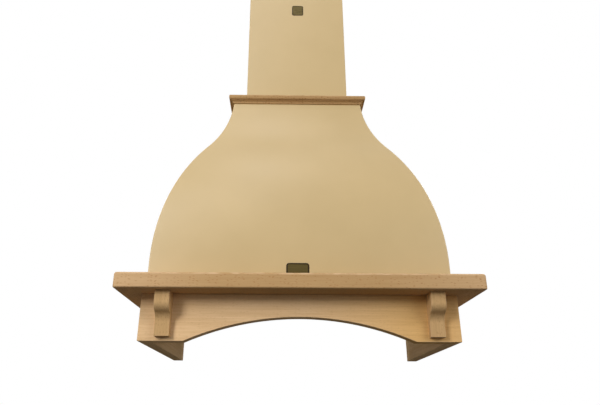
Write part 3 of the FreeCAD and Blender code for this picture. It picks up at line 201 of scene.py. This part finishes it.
def mitred_board(section, side, half, depth, inner_half, inner_depth, corner, worn_edge):
    """A moulding along the hood's front or side. It ends on the line between its two corners."""
    work = bmesh.new()
    edge = work.verts.layers.float.new("edge")
    width = depth - inner_depth if side == "front" else half - inner_half
    gap = 0.00008
    rows = []
    for inset, level in section:
        turn_radius = max(corner - inset, 0.0)
        share = max(inset - corner, 0.0) / (width - corner)
        centre_x = half - corner - share * (half - corner - inner_half)
        centre_y = depth - corner - share * (depth - corner - inner_depth)
        if side == "front":
            centre_y = depth - max(corner, inset)
            left = [(a + gap, b) for a, b in arc(-centre_x, -centre_y, turn_radius, 225, 270, 4)]
            path = left + [(0.0, -depth + inset)] + [(-a, b) for a, b in reversed(left)]
        else:
            centre_x = half - max(corner, inset)
            path = [(-half + inset, 0.0)] + [(a, b + gap) for a, b in
                                            arc(-centre_x, -centre_y, turn_radius, 180, 225, 4)]
        rows.append([work.verts.new((x, y, level)) for x, y in path])
        for vertex in rows[-1]:
            vertex[edge] = 1.0 if worn_edge(inset, level) else 0.0
    for first, second in zip(rows, rows[1:] + rows[:1]):
        for place in range(len(first) - 1):
            work.faces.new((first[place], first[place + 1], second[place + 1], second[place]))
    work.faces.new([row[0] for row in rows])
    work.faces.new([row[-1] for row in rows])
    bmesh.ops.remove_doubles(work, verts=work.verts, dist=0.00001)
    if side == "right":
        bmesh.ops.scale(work, vec=(-1.0, 1.0, 1.0), verts=work.verts)
    return work


def make_piece(name, work, material, crease=35):
    """Turn a worked mesh into a piece with smooth curves and flat faces."""
    bmesh.ops.recalc_face_normals(work, faces=work.faces)
    mesh = bpy.data.meshes.new(name)
    work.to_mesh(mesh)
    work.free()
    mesh.materials.append(material)
    mesh.shade_smooth()
    mesh.set_sharp_from_angle(angle=math.radians(crease))
    piece = bpy.data.objects.new(name, mesh)
    bpy.context.scene.collection.objects.link(piece)
    piece.modifiers.new("flat faces stay flat", "WEIGHTED_NORMAL").keep_sharp = True
    return piece


mantel_low, mantel_high = -0.305, -0.266
mantel_half, mantel_depth = 0.45, 0.52
mantel_inner_half, mantel_inner_depth = 0.34, 0.40
# The front board is tinted darker and warmer towards its middle: painted shade, standing in for light that
# falls off there.
for side, width, along, shift, painted_shade in (
        ("front", 0.12, "X", (0.3, 0.02, 0.11), (0.0, 0.46, 0.2)),
        ("left", 0.11, "Y", (1.7, 0.4, 0.2), None),
        ("right", 0.11, "Y", (4.1, 0.9, 0.6), None)):
    board = mitred_board(rounded_section(width, mantel_low, mantel_high, 0.004, 0.006, 0.001), side,
                         mantel_half, mantel_depth, mantel_inner_half, mantel_inner_depth, 0.008,
                         lambda inset, level: inset < 0.004 and level > mantel_high - 0.005)
    beech = finish("mantel beech " + side, "Beech", along, shift, worn=(0.66, 0.45, 0.26, 1.0), painted_shade=painted_shade,
                   specular=0.0, Light=(0.70, 0.475, 0.27, 1.0), Dark=(0.59, 0.375, 0.19, 1.0),
                   Heart=(0.79, 0.74, 0.62, 1.0), Fleck=(0.40, 0.19, 0.065, 1.0), Flecks=0.75)
    mantel = make_piece("mantel_board_" + side, board, beech)
    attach(mantel, "hood")
    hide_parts("mantel_" + side)

# --- Apron -----------------------------------------------------------------------------------
# A frame of three 30 mm beech boards under the mantel, glued and screwed from inside with steel
# angles. The front board is sawn to a shallow arch and its arrises are eased with sandpaper.


def sawn_board(outline, low, high, turn):
    """A board with a sawn outline between two flat faces. turn gives (a, b, depth) as x, y, z."""
    work = bmesh.new()
    work.verts.layers.float.new("edge")
    near, far = [[work.verts.new(turn(a, b, level)) for a, b in outline] for level in (low, high)]
    work.faces.new(near)
    work.faces.new(far)
    for place in range(len(outline)):
        following = (place + 1) % len(outline)
        work.faces.new((near[place], near[following], far[following], far[place]))
    bmesh.ops.recalc_face_normals(work, faces=work.faces)
    return work


def ease(work, width, shortest=0.006):
    """Round the arrises over, and mark their middle as the place that wears."""
    edge = work.verts.layers.float["edge"]
    arrises = [line for line in work.edges if len(line.link_faces) == 2
               and line.calc_face_angle() > math.radians(30) and line.calc_length() > shortest]
    made = bmesh.ops.bevel(work, geom=arrises, offset=width, segments=3, profile=0.5, affect="EDGES")
    rounded = set(made["faces"])
    for vertex in work.verts:
        if all(face in rounded for face in vertex.link_faces):
            vertex[edge] = 1.0


apron_low, apron_high = -0.421, mantel_low
arch_half, arch_rise = 0.285, 0.0595
arch_radius = (arch_half ** 2 + arch_rise ** 2) / (2 * arch_rise)
arch_angle = math.degrees(math.asin(arch_half / arch_radius))
arch_line = arc(0.0, apron_low + arch_rise - arch_radius, arch_radius, 90 + arch_angle, 90 - arch_angle, 40)
apron_wood = {
    "Light": (0.90, 0.63, 0.365, 1.0), "Dark": (0.69, 0.44, 0.215, 1.0), "Fleck": (0.45, 0.23, 0.09, 1.0),
    "Heart": (0.95, 0.86, 0.62, 1.0), "Flecks": 0.2}
front_board = sawn_board([(-0.396, apron_low)] + arch_line + [(0.396, apron_low), (0.396, apron_high),
                                                               (-0.396, apron_high)],
                         -0.452, -0.422, lambda across, up, back: (across, back, up))
ease(front_board, 0.0012)
# The front board is tinted darker and warmer towards its right end by the right corbel: painted shade, for
# the corbel's shadow and the light that falls off from the left.
apron = make_piece("apron_board_front", front_board,
                   finish("apron beech front", "Beech", "X", (2.2, 0.3, 0.5), worn=(0.78, 0.55, 0.33, 1.0),
                          painted_shade=(0.31, 0.3, 0.02), specular=0.0, **apron_wood))
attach(apron, "hood")
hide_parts("apron_front")
for side, sign in (("left", -1), ("right", 1)):
    side_board = sawn_board([(-0.422, apron_low), (0.0, apron_low), (0.0, apron_high), (-0.422, apron_high)],
                            sign * 0.396, sign * 0.366, lambda back, up, across: (across, back, up))
    ease(side_board, 0.0012)
    apron = make_piece("apron_board_" + side, side_board,
                       finish("apron beech " + side, "Beech", "Y", (sign * 0.9, 0.7, 0.2),
                              worn=(0.78, 0.55, 0.33, 1.0), specular=0.0, **apron_wood))
    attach(apron, "hood")
    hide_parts("apron_" + side)

# --- Corbels ---------------------------------------------------------------------------------
# Two small beech blocks under the mantel's edge, bandsawn to an S and screwed on through the
# apron. Their grain runs upright.
corbel_foot, corbel_head, corbel_step = -0.468, -0.497, 0.0145
bend_low, bend_high = -0.3765, -0.3315
bend_radius = (corbel_step ** 2 + ((bend_high - bend_low) / 2) ** 2) / (2 * corbel_step)
bend_angle = math.degrees(math.asin((bend_high - bend_low) / 2 / bend_radius))
corbel_outline = ([(-0.452, -0.4115), (corbel_foot, -0.4115)]
                  + arc(corbel_foot - bend_radius, bend_low, bend_radius, 0, bend_angle, 7)[:-1]
                  + arc(corbel_head + bend_radius, bend_high, bend_radius, 180 + bend_angle, 180, 7)
                  + [(corbel_head, apron_high), (-0.452, apron_high)])
for side, sign in (("left", -1), ("right", 1)):
    block = sawn_board(corbel_outline, sign * 0.33445 - 0.01825, sign * 0.33445 + 0.01825,
                       lambda back, up, across: (across, back, up))
    ease(block, 0.001, shortest=0.002)
    corbel = make_piece("corbel_block_" + side, block,
                        finish("corbel beech " + side, "Beech", "Z", (sign * 0.4, 0.8, 0.6),
                               worn=(0.72, 0.50, 0.29, 1.0), specular=0.0,
                               Light=(0.66, 0.43, 0.21, 1.0), Dark=(0.50, 0.31, 0.135, 1.0),
                               Fleck=(0.36, 0.19, 0.07, 1.0), Flecks=0.5))
    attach(corbel, "hood")
    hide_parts("corbel_" + side)

# --- Bell ------------------------------------------------------------------------------------
# Three sheets of 1.2 mm steel rolled to an S and seamed at the front corners, with flanges at the
# foot, the neck and the wall. Sprayed inside and out with an ivory satin enamel.

tree, given, gives = new_effect("Satin paint", {"Paint": (0.6, 0.46, 0.25, 1.0)})
cloud = spread(tree, noise(tree, given["Place"], (6.0, 6.0, 6.0)), 0.3, 0.7)
peel = noise(tree, given["Place"], (420.0, 420.0, 420.0), detail=1.5)
speck_near, speck_chance = cells(tree, given["Place"], (90.0, 90.0, 90.0))
speck = worked(tree, "MULTIPLY", spread(tree, speck_near, 0.09, 0.03), spread(tree, speck_chance, 0.7, 0.72))
shade = mixed(tree, cloud, (0.965, 0.96, 0.95, 1.0), (1.02, 1.02, 1.03, 1.0))
give(tree, gives, Color=mixed(tree, 1.0, given["Paint"], shade, mode="MULTIPLY"),
     Roughness=spread(tree, cloud, 0.0, 1.0, 0.31, 0.37),
     Height=worked(tree, "ADD", worked(tree, "MULTIPLY", peel, 0.5), worked(tree, "MULTIPLY", speck, 0.5)))

ivory = finish("ivory enamel", "Satin paint", depth=0.00012, specular=0.4, Paint=(0.575, 0.425, 0.212, 1.0))

bell_base, bell_height = -0.266, 0.633
straight, waist_rise, waist_share = 0.0423, 0.4417, 0.362
bell_foot_half, bell_neck_half = 0.3873, 0.2065
bell_foot_depth, bell_neck_depth = 0.45, 0.29


def bell_reach(foot, neck, rise):
    """Half the bell's width, or its depth, at a height over its foot."""
    waist = neck + waist_share * (foot - neck)
    step, climb = foot - waist, waist_rise - straight
    low_radius = (step ** 2 + climb ** 2) / (2 * step)
    if rise <= waist_rise:
        up = max(rise - straight, 0.0)
        return foot - low_radius + math.sqrt(low_radius ** 2 - up ** 2)
    lean = math.asin(climb / low_radius)
    over, top = waist - neck, bell_height - waist_rise
    high_radius = (over ** 2 + top ** 2) / (2 * (top * math.sin(lean) - over * math.cos(lean)))
    centre = waist + high_radius * math.cos(lean)
    up = rise - waist_rise - high_radius * math.sin(lean)
    return centre - math.sqrt(high_radius ** 2 - up ** 2)


bend, flange = 0.0018, 0.02
bell_rises = [(flange, 0.0)] + [(bend - a, b) for a, b in arc(0.0, bend, bend, 270, 360, 3)]
bell_rises += [(0.0, bend + (bell_height - 2 * bend) * step / 64) for step in range(1, 64)]
bell_rises += [(bend - a, b) for a, b in arc(0.0, bell_height - bend, bend, 0, 90, 3)]
bell_rises += [(flange, bell_height)]


def bell_sheet(part):
    """One of the bell's sheets as rows of points, outer face only."""
    work = bmesh.new()
    rows = []
    corner = 0.0035
    for inset, rise in bell_rises:
        half = bell_reach(bell_foot_half, bell_neck_half, rise) - inset
        depth = bell_reach(bell_foot_depth, bell_neck_depth, rise) - inset
        radius = max(corner - inset, 0.0)
        bends = arc(-half + radius, -depth + radius, radius, 180, 270, 6)
        if part == "front":
            path = bends + [(half * share / 12, -depth) for share in range(-11, 12)]
            path += [(-a, b) for a, b in reversed(bends)]
        else:
            start = bends[0][1] + 0.00015
            path = [(-half, start * share / 12) for share in range(13)]
        rows.append([work.verts.new((x, y, bell_base + rise)) for x, y in path])
    for low, high in zip(rows, rows[1:]):
        for place in range(len(low) - 1):
            work.faces.new((low[place], high[place], high[place + 1], low[place + 1]))
    if part != "front":
        spine = [row[0] for row in rows[1:-1]]
        tips = [work.verts.new(vertex.co + Vector((flange, 0.0, 0.0))) for vertex in spine]
        for place in range(len(spine) - 1):
            work.faces.new((spine[place], tips[place], tips[place + 1], spine[place + 1]))
    bmesh.ops.remove_doubles(work, verts=work.verts, dist=0.00002)
    if part == "right":
        bmesh.ops.scale(work, vec=(-1.0, 1.0, 1.0), verts=work.verts)
    return work


def thicken(piece, sheet):
    """Give a sheet its thickness, all of it inward."""
    solid = piece.modifiers.new("sheet", "SOLIDIFY")
    solid.thickness = sheet
    solid.offset = -1.0
    solid.use_even_offset = True


for part in ("front", "left", "right"):
    bell = make_piece("bell_sheet_" + part, bell_sheet(part), ivory)
    thicken(bell, 0.0012)
    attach(bell, "hood")
    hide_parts("shell_" + part)

# --- Cornice ---------------------------------------------------------------------------------
# Three lengths of beech moulding around the chimney's foot: a face rounded at both edges over a
# quirk and a small cove, run on a spindle moulder and mitred at the front corners.
cornice_base = bell_base + bell_height
cornice_half, cornice_depth = 0.222, 0.3055
cornice_inner_half, cornice_inner_depth = 0.1693, 0.253
cornice_section = ([(0.0683, cornice_base)]
                   + arc(0.005, cornice_base, 0.0075, 0, 82, 7)
                   + [(0.005, cornice_base + 0.0074), (0.0054, cornice_base + 0.0079),
                      (0.0064, cornice_base + 0.0081), (0.0064, cornice_base + 0.0103)]
                   + arc(0.005, cornice_base + 0.0153, 0.005, 270, 180, 8)
                   + arc(0.0075, cornice_base + 0.0198, 0.0075, 180, 90, 10)
                   + [(0.0683, cornice_base + 0.0273)])
for side, along, width in (("front", "X", cornice_depth - cornice_inner_depth),
                           ("left", "Y", cornice_half - cornice_inner_half),
                           ("right", "Y", cornice_half - cornice_inner_half)):
    section = [(min(inset, width), level) for inset, level in cornice_section]
    moulding = mitred_board(section, side, cornice_half, cornice_depth, cornice_inner_half,
                            cornice_inner_depth, 0.001,
                            lambda inset, level: inset < 0.005 and level > cornice_base + 0.021)
    cornice = make_piece("cornice_moulding_" + side, moulding,
                         finish("cornice beech " + side, "Beech", along, (0.6, 0.15, 0.35),
                                worn=(0.56, 0.37, 0.19, 1.0), specular=0.0,
                                Light=(0.49, 0.305, 0.14, 1.0), Dark=(0.36, 0.21, 0.09, 1.0),
                                Fleck=(0.20, 0.085, 0.028, 1.0), Flecks=0.9))
    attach(cornice, "hood")
    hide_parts("cornice_" + side)

# --- Chimney ---------------------------------------------------------------------------------
# Two folded channels of 1 mm steel in the same enamel. The lower one stands in the cornice, and
# the upper one slides inside it to meet the ceiling.


def folded_channel(half, depth, back, low, high, lip):
    """A channel with small bends at its corners and, where it has them, lips along the wall."""
    work = bmesh.new()
    radius = 0.0022
    corner = arc(-half + radius, -depth + radius, radius, 180, 270, 5)
    left = ([(-half + lip, back)] if lip else []) + [(-half, back)] + corner
    path = left + [(half * share / 6, -depth) for share in range(-5, 6)]
    path += [(-a, b) for a, b in reversed(left)]
    levels = [low + (high - low) * step / 12 for step in range(13)]
    rows = [[work.verts.new((x, y, level)) for x, y in path] for level in levels]
    for first, second in zip(rows, rows[1:]):
        for place in range(len(path) - 1):
            work.faces.new((first[place], second[place], second[place + 1], first[place + 1]))
    return work


foot = cornice_base - 0.0012
for name, node, half, depth, back, low, high, lip, body in (
        ("chimney_lower_channel", "lower_chimney", 0.169, 0.2527, 0.0, foot, foot + 0.519, 0.014, "hood"),
        ("chimney_upper_channel", "upper_chimney", 0.1677, 0.2514, -0.0013, foot + 0.059, foot + 0.539, 0.0,
         "upper_chimney")):
    chimney = make_piece(name, folded_channel(half, depth, back, low, high, lip), ivory)
    thicken(chimney, 0.001)
    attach(chimney, body)
    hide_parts(node)

# --- Bare plates -----------------------------------------------------------------------------
# Two stamped plates of dark antique brass, one on the chimney and one on the bell's foot, glued
# on. The field is left bare and lightly brushed inside a raised rim.

tree, given, gives = new_effect("Brushed metal", {"Tone": (0.6, 0.6, 0.6, 1.0)})
streaks = noise(tree, given["Place"], (30.0, 1500.0, 1500.0), detail=3.0)
smears = noise(tree, given["Place"], (25.0, 40.0, 40.0))
darker = mixed(tree, 1.0, given["Tone"], (0.72, 0.72, 0.72, 1.0), mode="MULTIPLY")
give(tree, gives,
     Color=mixed(tree, spread(tree, streaks, 0.3, 0.6), darker, given["Tone"]),
     Roughness=worked(tree, "ADD", spread(tree, smears, 0.3, 0.7, 0.22, 0.34),
                      spread(tree, streaks, 0.3, 0.7, 0.0, 0.1)),
     Height=streaks)


def stamped_plate(width, height, middle, centre, face, thick, round_corner, rim, sunk):
    """A plate with rounded corners, a raised rim and a sunk field, as loops from back to middle."""
    work = bmesh.new()
    loops = []
    for inset, out in ((0.0, 0.0), (0.0, thick * 0.6), (0.0004, thick), (rim, thick),
                       (rim + 0.0003, thick - sunk)):
        half_wide, half_high = width / 2 - inset, height / 2 - inset
        radius = max(round_corner - inset, 0.0006)
        loop = []
        for across, up, start in ((1, 1, 0), (-1, 1, 90), (-1, -1, 180), (1, -1, 270)):
            loop += arc(middle + across * (half_wide - radius), centre + up * (half_high - radius), radius,
                        start, start + 90, 6)
        loops.append([work.verts.new((x, face - out, z)) for x, z in loop])
    for first, second in zip(loops, loops[1:]):
        for place in range(len(first)):
            following = (place + 1) % len(first)
            work.faces.new((first[place], first[following], second[following], second[place]))
    work.faces.new(loops[0])
    work.faces.new(loops[-1])
    return work


brass = finish("brass field", "Brushed metal", metallic=0.5, depth=0.00002, specular=0.3,
               Tone=(0.095, 0.068, 0.016, 1.0))
patina = finish("darkened rim", "Brushed metal", metallic=0.3, depth=0.00002, specular=0.2,
                Tone=(0.030, 0.019, 0.006, 1.0))
for name, node, size, place, face, round_corner, rim in (
        ("chimney_brass_plate", "chimney_plate", (0.04, 0.044), (0.004, 0.793), -0.2527, 0.006, 0.0022),
        ("canopy_brass_plate", "canopy_plate", (0.059, 0.038), (-0.005, -0.241), -0.45, 0.007, 0.0034)):
    plate = make_piece(name, stamped_plate(*size, *place, face, 0.0012, round_corner, rim, 0.0004), brass)
    plate.data.materials.append(patina)
    for facet in plate.data.polygons:
        facet.material_index = 0 if len(facet.vertices) > 4 else 1
    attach(plate, "hood")
    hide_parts(node)

# --- Liner panel -----------------------------------------------------------------------------
# The pressed steel tray that closes the hood's underside, enamelled a shade paler than the bell,
# with a turned-up rim, windows for the filters and holes for the lamps and buttons.


def dress(material, *nodes):
    """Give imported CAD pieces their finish."""
    for name in nodes:
        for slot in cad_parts[name].material_slots:
            slot.material = material


dress(finish("liner enamel", "Satin paint", depth=0.00012, specular=0.4, Paint=(0.66, 0.58, 0.43, 1.0)),
      "liner_panel")

# --- Filters and their latches ---------------------------------------------------------------
# Two grease filters in frames of extruded aluminium, faced with slit and stretched sheet. They
# hinge on pins at the back, and a sliding latch of black nylon holds each shut at the front.
aluminium = finish("mill aluminium", "Brushed metal", metallic=1.0, depth=0.00002,
                   Tone=(0.74, 0.75, 0.76, 1.0))
dress(aluminium, "filter_frame_left", "filter_frame_right", "filter_mesh_left", "filter_mesh_right")


def expanded_sheet(low, high, level, long_way, short_way, strand, sheet):
    """Slit and stretched sheet: zigzag strands that meet at their points and leave diamonds between."""
    work = bmesh.new()
    across, up = round((high[0] - low[0]) / long_way), round((high[1] - low[1]) / short_way)
    step_x, step_y = (high[0] - low[0]) / across / 2, (high[1] - low[1]) / up
    for row in range(up):
        rings = []
        for point in range(2 * across + 1):
            swing = (step_y - strand) / 2 * (1 if (point + row) % 2 else -1)
            x, y = low[0] + point * step_x, low[1] + (row + 0.5) * step_y + swing
            rings.append([work.verts.new((x, y + a * strand / 2, level + b)) for a, b in
                          ((-1, 0.0), (1, sheet * 0.3), (1, -sheet * 0.7), (-1, -sheet))])
        for first, second in zip(rings, rings[1:]):
            for place in range(4):
                following = (place + 1) % 4
                work.faces.new((first[place], first[following], second[following], second[place]))
        work.faces.new(rings[0])
        work.faces.new(rings[-1])
    return work


diamond_long, diamond_short, strand_wide, strand_thick = 0.012, 0.006, 0.0012, 0.0012
sunk_in = 0.0003
for side in ("left", "right"):
    low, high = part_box("filter_mesh_" + side)
    strands = expanded_sheet(low, high, low[2] + sunk_in, diamond_long, diamond_short, strand_wide,
                             strand_thick)
    grille = make_piece("filter_grille_" + side, strands, aluminium)
    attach(grille, "filter_" + side)

tree, given, gives = new_effect("Moulded plastic", {"Tone": (0.03, 0.03, 0.03, 1.0)})
grain = noise(tree, given["Place"], (1400.0, 1400.0, 1400.0), detail=2.0)
dust = spread(tree, noise(tree, given["Place"], (30.0, 30.0, 30.0)), 0.45, 0.7, 0.0, 0.12)
give(tree, gives, Color=mixed(tree, dust, given["Tone"], (0.35, 0.33, 0.3, 1.0)),
     Roughness=spread(tree, grain, 0.3, 0.7, 0.42, 0.56), Height=grain)
black_plastic = finish("black nylon", "Moulded plastic", depth=0.00003, Tone=(0.022, 0.022, 0.022, 1.0))
dress(black_plastic, "filter_latch_left", "filter_latch_right")

# --- Lamps and controls ----------------------------------------------------------------------
# Two round lamps with spun aluminium bezels and frosted lenses, and a brushed steel plate with
# five push buttons, all along the front of the liner.
dress(aluminium, "lamp_bezel_left", "lamp_bezel_right", "lamp_can_left", "lamp_can_right")
frosted = finish("frosted glass", "Satin paint", depth=0.00003, Paint=(0.86, 0.88, 0.87, 1.0))
frosted.node_tree.nodes["Principled BSDF"].inputs["Transmission Weight"].default_value = 0.55
dress(frosted, "lamp_lens_left", "lamp_lens_right")
dress(finish("brushed steel", "Brushed metal", metallic=1.0, depth=0.00002, Tone=(0.60, 0.60, 0.60, 1.0)),
      "control_panel")
dress(black_plastic, "switch_box", "button_off", "button_speed_low", "button_speed_mid", "button_speed_high",
      "button_lamp")

# --- Brackets, plates and casing -------------------------------------------------------------
# Folded and pressed pieces of galvanised sheet inside the hood: the plate under the chimney, the
# wall brackets, the angles in the apron and the extractor's casing.

tree, given, gives = new_effect("Galvanised", {"Tone": (0.62, 0.63, 0.64, 1.0)})
_, crystal = cells(tree, given["Place"], (95.0, 95.0, 95.0))
haze = noise(tree, given["Place"], (9.0, 9.0, 9.0))
spangle = spread(tree, crystal, 0.0, 1.0, 0.0, 0.35)
give(tree, gives, Color=mixed(tree, spangle, given["Tone"], (0.44, 0.46, 0.48, 1.0)),
     Roughness=worked(tree, "ADD", spread(tree, crystal, 0.0, 1.0, 0.32, 0.44),
                      spread(tree, haze, 0.3, 0.7, 0.0, 0.08)),
     Height=spread(tree, crystal, 0.0, 1.0, 0.3, 0.6))
zinc = finish("galvanised sheet", "Galvanised", metallic=0.9, depth=0.00001)
dress(zinc, "shell_top_plate", "chimney_bracket", "extractor_casing", "hanging_plate", "apron_angles",
      "filter_hangers", "motor_bracket", "blower_motor")

# --- Screws and shaft ------------------------------------------------------------------------
# Turned and rolled steel with a bright zinc finish.
bright_steel = finish("bright steel", "Brushed metal", metallic=1.0, depth=0.00001,
                      Tone=(0.55, 0.55, 0.56, 1.0))
dress(bright_steel, "mantel_screws", "apron_screws", "corbel_screws", "chimney_screws", "liner_screws",
      "impeller_shaft")

# --- Blower, collar and terminal box ---------------------------------------------------------
# The volute housing, impeller wheel, outlet collar and its two non-return flaps are moulded in
# grey plastic. The terminal box and its cable gland are black.
grey_plastic = finish("grey plastic", "Moulded plastic", depth=0.00003, Tone=(0.13, 0.135, 0.14, 1.0))
dress(grey_plastic, "blower_housing", "impeller", "outlet_collar", "flap_left", "flap_right")
dress(black_plastic, "terminal_box", "cable_gland")

# --- Floor and light -------------------------------------------------------------------------
# A pale floor under the hood in a white room. Soft lamps from the front left and right do most
# of the work, two from above put a sheen on the bell, and weak ones light the sides and back.
floor_work = bmesh.new()
bmesh.ops.create_grid(floor_work, x_segments=8, y_segments=8, size=9.0)
floor_mesh = bpy.data.meshes.new("floor")
floor_work.to_mesh(floor_mesh)
floor_work.free()
floor = bpy.data.objects.new("floor", floor_mesh)
floor.location = (0.0, 0.0, -0.75)
bpy.context.scene.collection.objects.link(floor)


def seen_straight(tree):
    """1 where a ray from the camera, a mirror or glass meets the surface."""
    rays = put(tree, "LightPath").outputs
    direct = put(tree, "Math", {0: rays["Is Camera Ray"], 1: rays["Is Glossy Ray"]},
                 operation="MAXIMUM").outputs[0]
    return put(tree, "Math", {0: direct, 1: rays["Is Transmission Ray"]}, operation="MAXIMUM").outputs[0]


floor_material = bpy.data.materials.new("pale floor")
floor_material.use_nodes = True
tree = floor_material.node_tree
pale = mixed(tree, noise(tree, put(tree, "TexCoord").outputs["Object"], (2.0, 2.0, 2.0)),
             (0.80, 0.80, 0.79, 1.0), (0.86, 0.86, 0.855, 1.0))
tree.links.new(mixed(tree, seen_straight(tree), (0.08, 0.075, 0.065, 1.0), pale),
               tree.nodes["Principled BSDF"].inputs["Base Color"])
tree.links.new(mixed(tree, seen_straight(tree), (0.0, 0.0, 0.0, 1.0), (0.78, 0.78, 0.78, 1.0)),
               tree.nodes["Principled BSDF"].inputs["Emission Color"])
tree.nodes["Principled BSDF"].inputs["Emission Strength"].default_value = 1.0
tree.nodes["Principled BSDF"].inputs["Roughness"].default_value = 0.8
floor_mesh.materials.append(floor_material)

world = bpy.data.worlds.new("white room")
world.use_nodes = True
bpy.context.scene.world = world
tree = world.node_tree
room = tree.nodes["Background"]
room.inputs["Color"].default_value = (1.0, 1.0, 1.0, 1.0)
tree.links.new(spread(tree, seen_straight(tree), 0.0, 1.0, 0.02, 1.0), room.inputs["Strength"])


def soft_lamp(name, place, aim, size, power):
    """A square studio lamp that looks at a point."""
    lamp = bpy.data.objects.new(name, bpy.data.lights.new(name, "AREA"))
    lamp.data.shape = "SQUARE"
    lamp.data.size = size
    lamp.data.energy = power
    lamp.location = place
    away = lamp.location - aim
    lamp.rotation_euler = away.to_track_quat("Z", "Y").to_euler()
    bpy.context.scene.collection.objects.link(lamp)


soft_lamp("front left lamp", Vector((-1.6, -2.35, 0.42)), Vector((0.0, -0.4, 0.0)), 0.8, 35.0)
soft_lamp("high left lamp", Vector((-1.4, -2.5, 1.6)), Vector((0.0, -0.3, 0.4)), 0.8, 16.0)
soft_lamp("upper front lamp", Vector((-0.6, -2.2, 2.1)), Vector((0.0, -0.3, 0.2)), 0.8, 7.0)
soft_lamp("top lamp", Vector((-0.2, -1.3, 2.4)), Vector((0.0, -0.3, 0.2)), 0.7, 5.0)
soft_lamp("right fill lamp", Vector((2.1, -2.1, 0.6)), Vector((0.0, -0.3, 0.0)), 1.8, 37.0)
soft_lamp("right side lamp", Vector((2.4, 0.2, 1.4)), Vector((0.3, -0.2, 0.1)), 1.2, 26.0)
soft_lamp("left side lamp", Vector((-2.4, 0.2, 1.4)), Vector((-0.3, -0.2, 0.1)), 1.2, 22.0)
soft_lamp("back lamp", Vector((0.0, 2.0, 2.1)), Vector((0.0, 0.0, 0.2)), 1.2, 14.0)

bpy.context.scene.view_settings.view_transform = "Standard"
